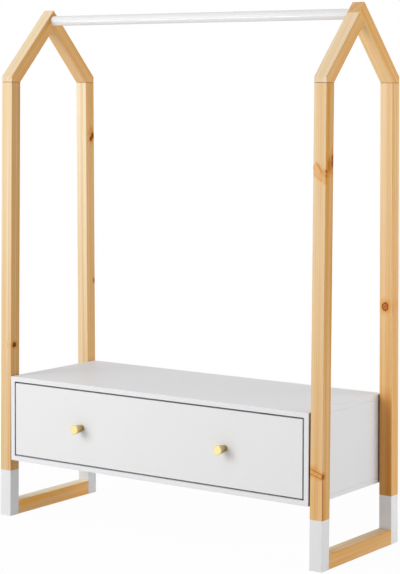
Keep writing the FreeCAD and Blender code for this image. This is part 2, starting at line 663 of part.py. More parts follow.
ROLLER_INNER_X = f"({WALL_X} + runner_sheet + roller_side_gap)"
ROLLER_OUTER_X = f"({ROLLER_INNER_X} + roller_width)"


def is_roller_rim(edge):
    """Whether an edge is one of a roller's two outer circles."""
    across, deep, _ = spans(edge)
    return across < NOTHING and deep > value("axle_shoulder_d")


def roller(side_name, end_name):
    """A runner roller with bevelled rims."""
    side = SIDES[side_name]
    made = new_body(f"{side_name}_{end_name}_roller")
    y, z = (FRONT_ROLLER_Y, FRONT_ROLLER_Z) if end_name == "front" else (REAR_ROLLER_Y, REAR_ROLLER_Z)
    pad(made, "YZ_Plane", f"{side} * {ROLLER_INNER_X}", "roller_width", grow=side,
        circles=[(y, z, "roller_d / 2"), (y, z, "axle_d / 2 + axle_play")])
    round_edges(made, "roller_rim", is_roller_rim, kind="Chamfer")
    return made


def front_roller_axles():
    """The axles riveted to the box runners."""
    made = new_body("front_roller_axles")
    web = f"({CELL_X} - runner_sheet)"
    head = f"({ROLLER_INNER_X} - axle_end_play)"
    shoulder = f"({ROLLER_OUTER_X} + axle_end_play)"
    thick = (FRONT_ROLLER_Y, FRONT_ROLLER_Z, "axle_shoulder_d / 2")
    thin = (FRONT_ROLLER_Y, FRONT_ROLLER_Z, "axle_d / 2")
    for side in SIDES.values():
        pad(made, "YZ_Plane", f"{side} * {web}", f"{web} - {shoulder}", circles=[thick], grow=-side)
        pad(made, "YZ_Plane", f"{side} * {web}", f"{web} - {head}", circles=[thin], grow=-side)
        pad(made, "YZ_Plane", f"{side} * {head}", "axle_head", circles=[thick], grow=-side)
    return made


def rear_roller_axles():
    """The axles riveted to the drawer runners."""
    made = new_body("rear_roller_axles")
    web = f"({WALL_X} + runner_sheet)"
    head = f"({ROLLER_OUTER_X} + axle_end_play)"
    shoulder = f"({ROLLER_INNER_X} - axle_end_play)"
    thick = (REAR_ROLLER_Y, REAR_ROLLER_Z, "axle_shoulder_d / 2")
    thin = (REAR_ROLLER_Y, REAR_ROLLER_Z, "axle_d / 2")
    for side in SIDES.values():
        pad(made, "YZ_Plane", f"{side} * {web}", f"{shoulder} - {web}", circles=[thick], grow=side)
        pad(made, "YZ_Plane", f"{side} * {web}", f"{head} - {web}", circles=[thin], grow=side)
        pad(made, "YZ_Plane", f"{side} * {head}", "axle_head", circles=[thick], grow=side)
    return made


def box_runner_screws():
    """The screws that hold the box runners to the side boards."""
    made = new_body("box_runner_screws")
    web = f"({CELL_X} - runner_sheet)"
    for side in SIDES.values():
        pad(made, "YZ_Plane", f"{side} * {web}", "runner_screw_head", grow=-side,
            circles=[(y, REAR_ROLLER_Z, "runner_screw_head_d / 2") for y in runner_screw_places()])
        pad(made, "YZ_Plane", f"{side} * {web}", "runner_sheet + runner_screw_length", grow=side,
            circles=[(y, REAR_ROLLER_Z, "runner_screw_d / 2") for y in runner_screw_places()])
    return made


def drawer_runner_screws():
    """The screws that go up through the drawer runners into the drawer sides."""
    made = new_body("drawer_runner_screws")
    middle = f"({WALL_X} - drawer_wall / 2)"
    pad(made, "XY_Plane", f"{WALL_Z} - runner_sheet", "runner_screw_head", grow=-1,
        circles=both_sides(middle, runner_screw_places(), "runner_screw_head_d / 2"))
    pad(made, "XY_Plane", f"{WALL_Z} - runner_sheet", "runner_sheet + foot_screw_length",
        circles=both_sides(middle, runner_screw_places(), "runner_screw_d / 2"))
    return made


# Drawer

DRAWER_DOWEL_HEIGHTS = (f"({WALL_Z} + drawer_fixing)", f"({WALL_TOP_Z} - drawer_fixing)")
BACK_MID_Y = f"({RUNNER_END_Y} - drawer_wall / 2)"
WALL_MID_X = f"({WALL_X} - drawer_wall / 2)"
GROOVE_Z = f"({BOARD_Z} - fit_gap)"
GROOVE_TOP_Z = f"({BOARD_Z} + drawer_board + fit_gap)"


def drawer_front():
    """The inset drawer front, grooved for the bottom and bored for knobs and dowels."""
    made = new_body("drawer_front")
    outline = rectangle(f"-1 * {FRONT_X}", FRONT_X, f"{FLOOR_Z} + drawer_gap", f"{CEILING_Z} - drawer_gap")
    pad(made, "XZ_Plane", BOX_FRONT_Y, "panel", [outline])
    front_y = value(f"{BOX_FRONT_Y} + {MIDDLE_Y}")
    round_edges(made, "drawer_edge", lambda edge: edge.BoundBox.YMax < front_y + NOTHING)
    reach = f"({DRAWER_X} + groove_depth)"
    groove = rectangle(f"-1 * {reach}", reach, GROOVE_Z, GROOVE_TOP_Z)
    cut(made, "XZ_Plane", FRONT_BACK_Y, "groove_depth", [groove], grow=-1)
    cut(made, "XZ_Plane", FRONT_BACK_Y, "panel", grow=-1,
        circles=[(f"{side} * {KNOB_X}", KNOB_Z, "knob_screw_d / 2 + fit_gap") for side in SIDES.values()])
    cut(made, "XZ_Plane", FRONT_BACK_Y, "drawer_dowel_head + fit_gap", grow=-1,
        circles=both_sides(WALL_MID_X, DRAWER_DOWEL_HEIGHTS, "drawer_dowel_d / 2 + fit_gap"))
    return made


def drawer_side(side_name):
    """A drawer side, grooved for the bottom."""
    side = SIDES[side_name]
    made = new_body(f"drawer_{side_name}_side")
    start = f"-1 * {WALL_X}" if side < 0 else DRAWER_X
    pad(made, "YZ_Plane", start, "drawer_wall", [rectangle(FRONT_BACK_Y, RUNNER_END_Y, WALL_Z, WALL_TOP_Z)])
    groove = rectangle(FRONT_BACK_Y, RUNNER_END_Y, GROOVE_Z, GROOVE_TOP_Z)
    cut(made, "YZ_Plane", f"{side} * {DRAWER_X}", "groove_depth", [groove], grow=side)
    middle = f"{side} * {WALL_MID_X}"
    cut(made, "XZ_Plane", FRONT_BACK_Y, "drawer_dowel_tail + fit_gap",
        circles=[(middle, z, "drawer_dowel_d / 2 + fit_gap") for z in DRAWER_DOWEL_HEIGHTS])
    cut(made, "XY_Plane", WALL_Z, "foot_screw_length + fit_gap",
        circles=[(middle, y, "runner_screw_d / 2 + fit_gap") for y in runner_screw_places()])
    cut(made, "YZ_Plane", f"{side} * {WALL_X}", "drawer_wall", grow=-side,
        circles=[(BACK_MID_Y, z, "back_screw_d / 2 + fit_gap") for z in DRAWER_DOWEL_HEIGHTS])
    cut(made, "YZ_Plane", f"{side} * {WALL_X}", "back_screw_head", grow=-side,
        circles=[(BACK_MID_Y, z, "back_screw_head_d / 2 + fit_gap") for z in DRAWER_DOWEL_HEIGHTS])
    return made


def drawer_back():
    """The drawer back, which stands on the bottom between the sides."""
    made = new_body("drawer_back")
    outline = rectangle(f"-1 * {DRAWER_X}", DRAWER_X, f"{BOARD_Z} + drawer_board", WALL_TOP_Z)
    pad(made, "XZ_Plane", f"{RUNNER_END_Y} - drawer_wall", "drawer_wall", [outline])
    for side in SIDES.values():
        cut(made, "YZ_Plane", f"{side} * {DRAWER_X}", "back_screw_length - drawer_wall + fit_gap", grow=-side,
            circles=[(BACK_MID_Y, z, "back_screw_d / 2 + fit_gap") for z in DRAWER_DOWEL_HEIGHTS])
    return made


def drawer_bottom():
    """The thin drawer bottom in the grooves of the front and sides."""
    made = new_body("drawer_bottom")
    reach = f"({DRAWER_X} + groove_depth - fit_gap)"
    outline = rectangle(f"-1 * {reach}", reach, f"{FRONT_BACK_Y} - groove_depth + fit_gap", RUNNER_END_Y)
    pad(made, "XY_Plane", BOARD_Z, "drawer_board", [outline])
    return made


def drawer_dowels():
    """The dowels between the drawer front and sides."""
    made = new_body("drawer_dowels")
    pad(made, "XZ_Plane", f"{FRONT_BACK_Y} - drawer_dowel_head", "drawer_dowel_head + drawer_dowel_tail",
        circles=both_sides(WALL_MID_X, DRAWER_DOWEL_HEIGHTS, "drawer_dowel_d / 2"))
    return made


def drawer_back_screws():
    """The screws that go through the drawer sides into the drawer back."""
    made = new_body("drawer_back_screws")
    stages = (("back_screw_head", "back_screw_head_d / 2"), ("back_screw_length", "back_screw_d / 2"))
    for side in SIDES.values():
        for length, radius in stages:
            pad(made, "YZ_Plane", f"{side} * {WALL_X}", length, grow=-side,
                circles=[(BACK_MID_Y, z, radius) for z in DRAWER_DOWEL_HEIGHTS])
    return made


def knob(side_name):
    """A conical knob, narrow at the drawer front, turned about its own axis."""
    side = SIDES[side_name]
    made = new_body(f"{side_name}_knob")
    sketch = sketch_on(made, "XY_Plane", KNOB_Z)
    sketch.setExpression("AttachmentOffset.Base.x", ref(f"{side} * {KNOB_X}"))
    tip = f"({BOX_FRONT_Y} - knob_length)"
    draw_outline(sketch, [("0", BOX_FRONT_Y), ("knob_base_d / 2", BOX_FRONT_Y),
                          ("knob_tip_d / 2", f"{tip} + knob_edge"),
                          ("knob_tip_d / 2 - knob_edge", tip), ("0", tip)])
    feature = made.newObject("PartDesign::Revolution", "turned_knob")
    feature.Profile = sketch
    feature.ReferenceAxis = (sketch, ["V_Axis"])
    feature.Angle = 360
    doc.recompute()
    cut(made, "XZ_Plane", BOX_FRONT_Y, "knob_screw_grip + fit_gap", grow=-1,
        circles=[(f"{side} * {KNOB_X}", KNOB_Z, "knob_screw_d / 2 + fit_gap")])
    return made


def knob_screws():
    """The screws that hold the knobs from inside the drawer."""
    made = new_body("knob_screws")
    places = [f"{side} * {KNOB_X}" for side in SIDES.values()]
    pad(made, "XZ_Plane", FRONT_BACK_Y, "knob_screw_head",
        circles=[(x, KNOB_Z, "knob_screw_head_d / 2") for x in places])
    pad(made, "XZ_Plane", FRONT_BACK_Y, "panel + knob_screw_grip", grow=-1,
        circles=[(x, KNOB_Z, "knob_screw_d / 2") for x in places])
    return made


def build():
    """Every sub-part of the rack."""
    parts = []
    for side_name in SIDES:
        for end_name in ENDS:
            parts += [leg(side_name, end_name), rafter(side_name, end_name), roller(side_name, end_name)]
        parts += [stretcher(side_name), box_side(side_name), box_runner(side_name), drawer_runner(side_name),
                  drawer_side(side_name), knob(side_name)]
    parts += [leg_dowels(), stretcher_dowels(), ridge_dowels(), clothes_rail()]
    parts += [box_top(), box_bottom(), box_back(), box_dowels(), cam_discs(), cam_bolts(), base_screws()]
    parts += [box_spacers(), box_bolts(), leg_inserts()]
    parts += [front_roller_axles(), rear_roller_axles(), box_runner_screws(), drawer_runner_screws()]
    parts += [drawer_front(), drawer_back(), drawer_bottom(), drawer_dowels(), drawer_back_screws()]
    parts += [knob_screws()]
    return parts


def write(parts):
    """Check every object, then write one file for each sub-part."""
    doc.recompute()
    for item in doc.Objects:
        if "Invalid" in item.State or "Error" in item.State:
            raise RuntimeError(f"{item.Label} failed: {item.State}")
    for made in parts:
        if made.Shape.isNull() or not made.Shape.isValid():
            raise RuntimeError(f"{made.Label} has no valid shape")
    os.makedirs("parts", exist_ok=True)
    for made in parts:
        made.Shape.exportStep(f"parts/{made.Label}.step")
        print(made.Label, len(made.Shape.Solids), "solids", round(made.Shape.Volume), "mm3")


write(build())
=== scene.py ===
"""Kids clothing rack: finishes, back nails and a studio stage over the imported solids."""

import math
from typing import NamedTuple

import bmesh
import bpy
from bpy.props import FloatProperty, FloatVectorProperty, PointerProperty
from mathutils import Matrix, Vector


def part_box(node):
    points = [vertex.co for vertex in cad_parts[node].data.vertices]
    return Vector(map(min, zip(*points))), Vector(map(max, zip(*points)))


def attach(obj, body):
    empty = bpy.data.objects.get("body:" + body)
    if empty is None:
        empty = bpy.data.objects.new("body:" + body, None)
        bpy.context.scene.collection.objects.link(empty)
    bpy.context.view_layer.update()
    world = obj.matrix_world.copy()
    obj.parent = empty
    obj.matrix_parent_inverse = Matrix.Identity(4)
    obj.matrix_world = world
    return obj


bl_info = {
    "name": "Kids clothing rack",
    "version": (1, 0, 0),
    "blender": (4, 5, 0),
    "location": "3D View > Sidebar > Rack",
    "description": "Finishes, back nails and a studio stage for the clothing rack",
    "category": "Object",
}

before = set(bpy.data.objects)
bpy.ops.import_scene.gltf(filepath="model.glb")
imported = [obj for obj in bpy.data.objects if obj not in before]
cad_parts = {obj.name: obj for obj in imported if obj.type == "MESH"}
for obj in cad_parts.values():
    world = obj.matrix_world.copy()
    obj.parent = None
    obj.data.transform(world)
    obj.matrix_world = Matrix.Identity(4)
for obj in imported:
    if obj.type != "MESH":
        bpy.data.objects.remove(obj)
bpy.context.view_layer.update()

MM = 0.001
WHITE = (1, 1, 1, 1)

# Places read from the solids
JOINT_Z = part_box("left_front_leg")[1].z
# Top of the box, where the painted shadow of the box on a leg's front begins
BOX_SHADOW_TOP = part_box("box_top")[1].z
BACK_LOW, BACK_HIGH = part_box("box_back")
FOOT_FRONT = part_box("left_front_leg")[0].y
FOOT_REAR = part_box("left_rear_leg")[1].y

# Depth of a leg, how much further out it stands at the floor than at its top, and the roof in degrees
LEG_DEPTH = 32 * MM
FOOT_SPREAD = 10 * MM
ROOF_SLOPE = 46.2

# Grain directions of the frame pieces, as turns about the width of the rack
LEG_LEAN = math.atan2(FOOT_SPREAD, JOINT_Z)
RAFTER_LEAN = math.radians(90 - ROOF_SLOPE)
LEVEL = math.radians(90)

# Rings in a sawn branch: their distance, how far they waver and how they vary its stain
KNOT_RING = 1.5 * MM
KNOT_WAVER = 9.0
KNOT_RING_DEPTH = 0.12
KNOT_RING_MEAN = 0.97

# Share of its width that a branch keeps at its ends
KNOT_THINNEST = 0.1

# How strongly each layer of the pine shows
ROSY_SHARE = 0.30
LATE_SHARE = 0.42
FIBRE_SHARE = 0.16
END_SHARE = 0.75
SEAM_SHARE = 0.7
PINE_SHINE = 0.08

# Stains of a knot at which its tint has come to resin and to bark
RESIN_STOP = 0.3
BARK_STOP = 0.62

# Heights and lines on a leg: where its front is warmest, the joint, the dip and the soft edge of the box's
# painted shadow
FALL_LOW = 100 * MM
SEAM_LINE = 0.2 * MM
SEAM_FADE = 1.2 * MM
DIP_RAGGED = 0.6 * MM
DIP_SOFT = 0.3 * MM
BOX_SHADOW_ABOVE = 30 * MM
BOX_SHADOW_BELOW = 20 * MM

# Middle of the log that the dowels come from
BEECH_PITH = (20 * MM, 30 * MM, 0)

# Depth of the relief in each finish
PINE_RELIEF = 0.05 * MM
BEECH_RELIEF = 0.06 * MM
HARDBOARD_RELIEF = 0.04 * MM
LATHE_RELIEF = 0.02 * MM
PLATING_RELIEF = 0.015 * MM
PLASTIC_RELIEF = 0.03 * MM

# Paint: cover of the painted shade in the slots beside the legs, depth and unevenness of the orange peel,
# and how strongly it mirrors
SHADING_COVER = 0.9
PEEL_DEPTH = 0.025 * MM
PEEL_MOTTLE = 0.12
PLAIN_SHINE = 0.5
ENAMEL_PEEL = 0.02 * MM
ENAMEL_GLOSS = 0.3
RAIL_PEEL = 0.0015 * MM
RAIL_MOTTLE = 0.02
RAIL_SHINE = 0.15

# Mesh of the press screen that marks the back of hardboard
SCREEN_PITCH = 1.6 * MM

# Rim of a knob's face, where a painted reflection darkens its edge
RIM_START = 2.6 * MM
RIM_END = 0.6 * MM


class Knot(NamedTuple):
    """A branch in a board, in millimetres: a point on its axis, its direction, its start and its end.

    tall stretches it upwards, and its ends taper over the length fade. core, dark, ring and glow are the
    strengths, from 0 to 1, of its core, its disc, the edge of the disc and the stain round it.
    """
    centre: tuple
    along: tuple
    radius: float
    tall: float
    start: float
    end: float
    core: float
    dark: float
    ring: float
    glow: float
    fade: float = 4.0


class Face(NamedTuple):
    """Look of a board's face: how light it is, and 0 for blond to 1 for honey wood; partly the wood's own
    tone and partly painted light and shade, set face by face.
    """
    tone: float
    warmth: float


class Board(NamedTuple):
    """One pine piece: the lean of its grain, its faces and where it was sawn from the log.

    fall makes its front warmer towards the floor, pith is the middle of the log in millimetres across the
    grain, box_shadow is a painted shadow of the box that darkens its front below the top of the box, and
    dip is the brightness of its painted foot.
    """
    lean: float
    front: Face
    side: Face
    fall: float
    pith: tuple
    seed: float
    knots: tuple = ()
    # Strength of a painted shadow that the box casts on the front of the leg below its top
    box_shadow: float = 0.0
    # Above 1 the foot's white is brightened as painted light, for a foot that stands in shade
    dip: float = 1.0


# Front and side looks of each piece: partly the wood's own tone, partly painted light and shade set face by
# face
BOARDS = {
    "left_front_leg": Board(-LEG_LEAN, Face(0.92, 0.16), Face(0.90, 0.89), 0.33, (46, 31), 1.3, (
        Knot((-442, -140.2, 431), (1, 0, 0.2), 8.0, 0.85, -12, 6, 0, 1.0, 0.9, 0.8),)),
    "left_rear_leg": Board(LEG_LEAN, Face(1.06, -0.16), Face(1.06, 0.89), 0.46, (-38, 52), 4.1, (
        Knot((-442, 171.8, 950), (1, 0.2, 0.2), 6.8, 1.4, -14, 6, 0, 0.95, 0.9, 0.9),
        Knot((-442, 164.8, 941), (1, 0, -0.2), 6.5, 1.1, -14, 6, 0, 0.95, 0.9, 0.9),
        Knot((-442, 165.8, 952), (1, 0, 0), 8.0, 1.8, -14, 6, 0, 0.2, 0, 0.8),
        Knot((-442, 178.5, 567), (1, 0.3, 0), 4.2, 1.7, -10, 5, 0, 0.86, 0.6, 0.9),)),
    "right_front_leg": Board(-LEG_LEAN, Face(1.00, 0.28), Face(0.945, 1.02), 0.38, (58, -24), 7.7, (
        Knot((453, -148.7, 907), (0.52, 0, -0.86), 2.0, 1.0, -4, 10, 0, 0.45, 0, 0.9, 8),
        Knot((459, -148.7, 901), (0.52, 0, -0.86), 2.2, 1.0, -7, 11, 0, 0.47, 0, 0.9, 8),
        Knot((468, -148.7, 889), (0.8, 0, -0.6), 2.0, 1.0, -5, 9, 0, 0.42, 0, 0.9, 5),
        Knot((455, -148.7, 879), (0.81, 0, -0.59), 1.6, 1.0, -10, 10, 0, 0.36, 0, 0.5, 9),
        Knot((442.5, -148.7, 902), (0.2, 0, -0.98), 2.2, 1.0, -4, 4, 0, 0.5, 0, 0.6),
        Knot((454, -148.7, 892), (0.7, 0, -0.7), 9.0, 1.0, -16, 16, 0, 0.12, 0, 0.6),
        Knot((472, -148.7, 880), (0.2, 0, -0.98), 4.5, 1.0, -8, 10, 0, 0.22, 0, 0.7, 12),
        Knot((475, -119.2, 916), (1, 0, 0), 7.0, 2.6, -8, 6, 0, 0.84, 0.6, 0.9),
        Knot((475, -132.2, 906), (1, 0, 0), 8.5, 1.6, -8, 6, 0, 0.5, 0.62, 1.0),
        Knot((475, -145.2, 893), (1, -0.3, 0), 4.4, 1.1, -8, 8, 0, 0.62, 0.66, 0.9),
        Knot((475, -146.2, 883), (1, -0.3, 0), 3.8, 1.1, -8, 8, 0, 0.58, 0.6, 0.8),
        Knot((460, -155.2, 218), (0.96, 0, -0.28), 7.0, 1.0, -20, 16, 0, 0.15, 0.68, 0.6),
        Knot((452, -155.2, 225), (0.2, 1, 0), 7.0, 1.2, -8, 8, 0, 0.35, 0, 0.7),
        Knot((475, -152.2, 214), (1, -1, 0), 4.0, 1.8, -10, 10, 0, 0.85, 0.6, 0.9),
        Knot((475, -153.2, 190), (0, 0, 1), 2.2, 1.0, -72, 20, 0, 0.58, 0.2, 0.6, 8),)),
    # The right rear leg carries a painted shadow of the box on its front below the box's top
    "right_rear_leg": Board(LEG_LEAN, Face(1.07, 0.28), Face(1.05, 0.83), 0.65, (-51, -36), 2.9, (
        # The last value brightens this foot's white paint as painted light, against the box's shade
        Knot((457.5, 149.8, 564), (0.1, 1, 0.15), 10.0, 1.15, -30, 30, 0.9, 0.42, 1.0, 0.8),), 1.0, 1.12),
    "left_front_rafter": Board(-RAFTER_LEAN, Face(0.85, -0.18), Face(1.05, 0.95), 0.0, (40, 44), 5.6),
    "left_rear_rafter": Board(RAFTER_LEAN, Face(1.07, 0.58), Face(1.10, 0.90), 0.0, (-44, 38), 9.2),
    "right_front_rafter": Board(-RAFTER_LEAN, Face(0.925, -0.01), Face(1.05, 0.91), 0.0, (-37, 49), 3.4),
    "right_rear_rafter": Board(RAFTER_LEAN, Face(1.22, 0.64), Face(1.06, 0.94), 0.0, (52, -33), 6.8),
    "left_stretcher": Board(-LEVEL, Face(1.0, -0.55), Face(1.30, 1.0), 0.0, (35, 40), 8.5),
    "right_stretcher": Board(-LEVEL, Face(0.91, 0.28), Face(1.04, 0.88), 0.0, (-42, 36), 10.4),
}


# Settings that a user would change

def colour_setting(name, description, default):
    """A colour property with the usual limits."""
    return FloatVectorProperty(
        name=name, description=description, subtype="COLOR", size=3, min=0, max=1, default=default)


def share_setting(name, description, default):
    """A share from 0 to 1."""
    return FloatProperty(
        name=name, description=description, subtype="FACTOR", min=0, max=1, default=default)


def length_setting(name, description, default, low=0.0):
    """A length in metres."""
    return FloatProperty(
        name=name, description=description, subtype="DISTANCE", unit="LENGTH", min=low, default=default)


def turn_setting(name, description, degrees):
    """An angle, given in degrees."""
    return FloatProperty(
        name=name, description=description, subtype="ANGLE", unit="ROTATION",
        default=math.radians(degrees))


def power_setting(name, description, watts):
    """The power of a lamp."""
    return FloatProperty(
        name=name, description=description, subtype="POWER", unit="POWER", min=0, default=watts)


class RackWood(bpy.types.PropertyGroup):
    """Pine of the end frames and beech of the dowels."""
    blond: colour_setting("Blond", "Pale sapwood", (0.90, 0.722, 0.478))
    # Honey on the side faces is partly the wood's own tone and partly painted shade
    honey: colour_setting("Honey", "Warm wood on the side faces", (0.74, 0.402, 0.122))
    rosy: colour_setting("Rosy", "Faint pink stripes", (0.86, 0.58, 0.37))
    knot_core: colour_setting("Knot core", "Middle of a sawn branch", (0.55, 0.21, 0.10))
    resin: colour_setting("Resin", "Faint stain round a knot, as a tint", (0.93, 0.74, 0.50))
    bark: colour_setting("Bark", "Brown of a knot, as a tint", (0.68, 0.38, 0.12))
    char: colour_setting("Char", "Darkest part of a knot, as a tint", (0.20, 0.09, 0.012))
    # Tint of the painted shadow that the box casts on a leg's front
    box_shadow: colour_setting("Shadow", "Dark shadowing, as a tint", (0.81, 0.67, 0.50))
    late: colour_setting("Latewood", "Dark part of a growth ring, as a tint", (0.80, 0.63, 0.42))
    fibre: colour_setting("Fibre", "Dark fibres, as a tint", (0.62, 0.45, 0.28))
    end_grain: colour_setting("End grain", "Sawn ends, as a tint", (0.66, 0.57, 0.54))
    seam: colour_setting("Seam", "Joint of leg and rafter, as a tint", (0.40, 0.21, 0.08))
    beech: colour_setting("Beech", "Dowels", (0.72, 0.50, 0.32))
    ring: length_setting("Ring", "Distance between growth rings", 4.2 * MM, 0.5 * MM)
    dip: length_setting("Dip", "Height of the white paint on the feet", 115 * MM)


class RackPaint(bpy.types.PropertyGroup):
    """White lacquer, hardboard and runner enamel."""
    white: colour_setting("White", "Lacquer of the drawer and the feet", (0.80, 0.80, 0.805))
    box: colour_setting("Box white", "Lacquer of the box", (0.792, 0.80, 0.818))
    # Colour of the painted shade in the narrow slots between the box and the legs
    dust: colour_setting("Shading", "Dark dust in the slots between box and legs", (0.10, 0.09, 0.075))
    board: colour_setting("Hardboard", "Painted thin boards", (0.745, 0.745, 0.735))
    rail: colour_setting("Rail white", "Lacquer of the rail", (0.738, 0.738, 0.743))
    enamel: colour_setting("Enamel", "Baked enamel on the runners", (0.69, 0.685, 0.655))
    gloss: share_setting("Roughness", "Roughness of the lacquer on drawer and feet", 0.34)
    box_gloss: share_setting("Box roughness", "Roughness of the lacquer on the box", 0.52)
    rail_gloss: share_setting("Rail roughness", "Roughness of the lacquer on the rail", 0.18)


class RackMetal(bpy.types.PropertyGroup):
    """Brass, zinc-plated steel and plastics of the fittings."""
    brass: colour_setting("Brass", "Polished face of the knobs", (0.91, 0.77, 0.38))
    patina_and_shade: colour_setting("Patina", "Darker brass on the knobs' cones", (0.52, 0.34, 0.09))
    # Dark brass: real tarnish and tool lines, and also the painted shade of the cones and the painted
    # reflection on the rims
    insert: colour_setting("Insert brass", "Threaded inserts", (0.70, 0.50, 0.22))
    zinc: colour_setting("Zinc", "Plated steel", (0.56, 0.57, 0.58))
    nylon: colour_setting("Nylon", "Runner rollers", (0.78, 0.78, 0.74))
    washer: colour_setting("Washer", "Dark plastic spacers", (0.035, 0.035, 0.04))


class RackStage(bpy.types.PropertyGroup):
    """Camera, lamps and floor."""
    eye: FloatVectorProperty(
        name="Eye", description="Place of the camera", subtype="TRANSLATION", unit="LENGTH", size=3,
        default=(2.6014, -3.6101, 1.0817))
    yaw: turn_setting("Yaw", "Turn of the camera to the left", 35.478)
    pitch: turn_setting("Pitch", "Tilt of the camera towards the floor", 2.85)
    roll: turn_setting("Roll", "Turn of the camera about its axis", -0.149)
    lens: FloatProperty(
        name="Lens", description="Focal length in millimetres", min=1, default=115.48)
    drop: FloatProperty(
        name="Drop", description="Shift of the frame, as a share of its long side", default=-0.1913)
    ambient: FloatProperty(
        name="Ambient", description="Light from all round", min=0, default=0.27)
    key: power_setting("Key", "Power of the large lamp at the front", 98)
    overhead: power_setting("Overhead", "Power of the lamp above", 21)
    fill: power_setting("Fill", "Power of the lamp at the right", 31)
    gleam: power_setting("Gleam", "Power of the low lamp that shows in the rail", 60)
    bounce: power_setting("Bounce", "Power of the light from the floor on the rail", 6)
    back: power_setting("Back", "Power of the lamp behind", 24)
    floor: colour_setting("Floor", "Pale floor", (0.88, 0.88, 0.88))
    floor_white: share_setting("Floor white", "How far the floor fades into the white background", 0.965)


# Node trees

# Sockets of a Mix node that blends colours: its factor, the two colours and the result
MIX_INPUTS = (0, 6, 7)
MIX_RESULT = 2

# Sockets of a Mix Shader node that take the two shaders
SHADER_INPUTS = (1, 2)


class Sheet:
    """Adds nodes to one node tree and joins their sockets."""

    def __init__(self, tree):
        self.tree = tree

    def feed(self, socket, value):
        """Links a socket to the input, or sets the input to a plain value."""
        if isinstance(value, bpy.types.NodeSocket):
            self.tree.links.new(value, socket)
        else:
            socket.default_value = value

    def add(self, kind, inputs=None, **settings):
        """A new node with its settings and inputs."""
        node = self.tree.nodes.new(kind)
        for name, value in settings.items():
            setattr(node, name, value)
        for name, value in (inputs or {}).items():
            self.feed(node.inputs[name], value)
        return node

    def math(self, operation, *values, clamp=False):
        """One step of arithmetic."""
        node = self.add("ShaderNodeMath", operation=operation, use_clamp=clamp)
        for socket, value in zip(node.inputs, values):
            self.feed(socket, value)
        return node.outputs["Value"]

    def vector(self, operation, *values):
        """One step of vector arithmetic, with a number out of a length or a dot product."""
        node = self.add("ShaderNodeVectorMath", operation=operation)
        for socket, value in zip(node.inputs, values):
            self.feed(socket, value)
        return node.outputs["Value" if operation in ("LENGTH", "DOT_PRODUCT") else "Vector"]

    def scaled(self, vector, factor):
        """A vector times a number."""
        inputs = {"Vector": vector, "Scale": factor}
        return self.add("ShaderNodeVectorMath", inputs, operation="SCALE").outputs["Vector"]

    def parts(self, vector):
        """The three parts of a vector."""
        return self.add("ShaderNodeSeparateXYZ", {"Vector": vector}).outputs

    def rise(self, value, low, high, top=1.0):
        """A smooth step from 0 at low to top at high."""
        inputs = {"Value": value, "From Min": low, "From Max": high, "To Max": top}
        return self.add("ShaderNodeMapRange", inputs, interpolation_type="SMOOTHSTEP").outputs["Result"]

    def spread(self, value, low, high):
        """A value from 0 to 1 spread from low to high, and on past them."""
        return self.math("MULTIPLY_ADD", value, high - low, low)

    def blend(self, factor, first, second, kind="MIX", beyond=False):
        """A mix of two colours, which may run past either of them."""
        node = self.add(
            "ShaderNodeMix", data_type="RGBA", blend_type=kind, clamp_factor=not beyond,
            clamp_result=beyond)
        for socket, value in zip(MIX_INPUTS, (factor, first, second)):
            self.feed(node.inputs[socket], value)
        return node.outputs[MIX_RESULT]

    def mix_shaders(self, factor, first, second):
        """A mix of two shaders."""
        node = self.add("ShaderNodeMixShader", {"Fac": factor})
        for socket, shader in zip(SHADER_INPUTS, (first, second)):
            self.feed(node.inputs[socket], shader)
        return node.outputs["Shader"]

    def noise(self, vector, stretch, seed, detail=2.0, roughness=0.5):
        """Noise over a stretched vector, one value and one colour."""
        moved = self.vector("ADD", self.vector("MULTIPLY", vector, stretch), seed)
        inputs = {"Vector": moved, "Scale": 1.0, "Detail": detail, "Roughness": roughness}
        return self.add("ShaderNodeTexNoise", inputs).outputs

    def group(self, tree, inputs):
        """Places a shared node group."""
        node = self.add("ShaderNodeGroup", node_tree=tree)
        for name, value in inputs.items():
            self.feed(node.inputs[name], value)
        return node.outputs


def rgba(colour):
    """A colour with full alpha."""
    return (*colour, 1.0)


def shade(colour, factor):
    """A colour made darker or lighter, with full alpha."""
    return rgba(min(1.0, part * factor) for part in colour)


def new_group(name, inputs, outputs):
    """An empty node group with named sockets, and its input and output nodes."""
    tree = bpy.data.node_groups.new(name, "ShaderNodeTree")
    for side, sockets in (("INPUT", inputs), ("OUTPUT", outputs)):
        for label, kind in sockets.items():
            tree.interface.new_socket(name=label, in_out=side, socket_type=f"NodeSocket{kind}")
    sheet = Sheet(tree)
    return sheet, sheet.add("NodeGroupInput").outputs, sheet.add("NodeGroupOutput").inputs


def shared(name, make):
    """A node group by name, made at its first use."""
    return bpy.data.node_groups.get(name) or make(name)


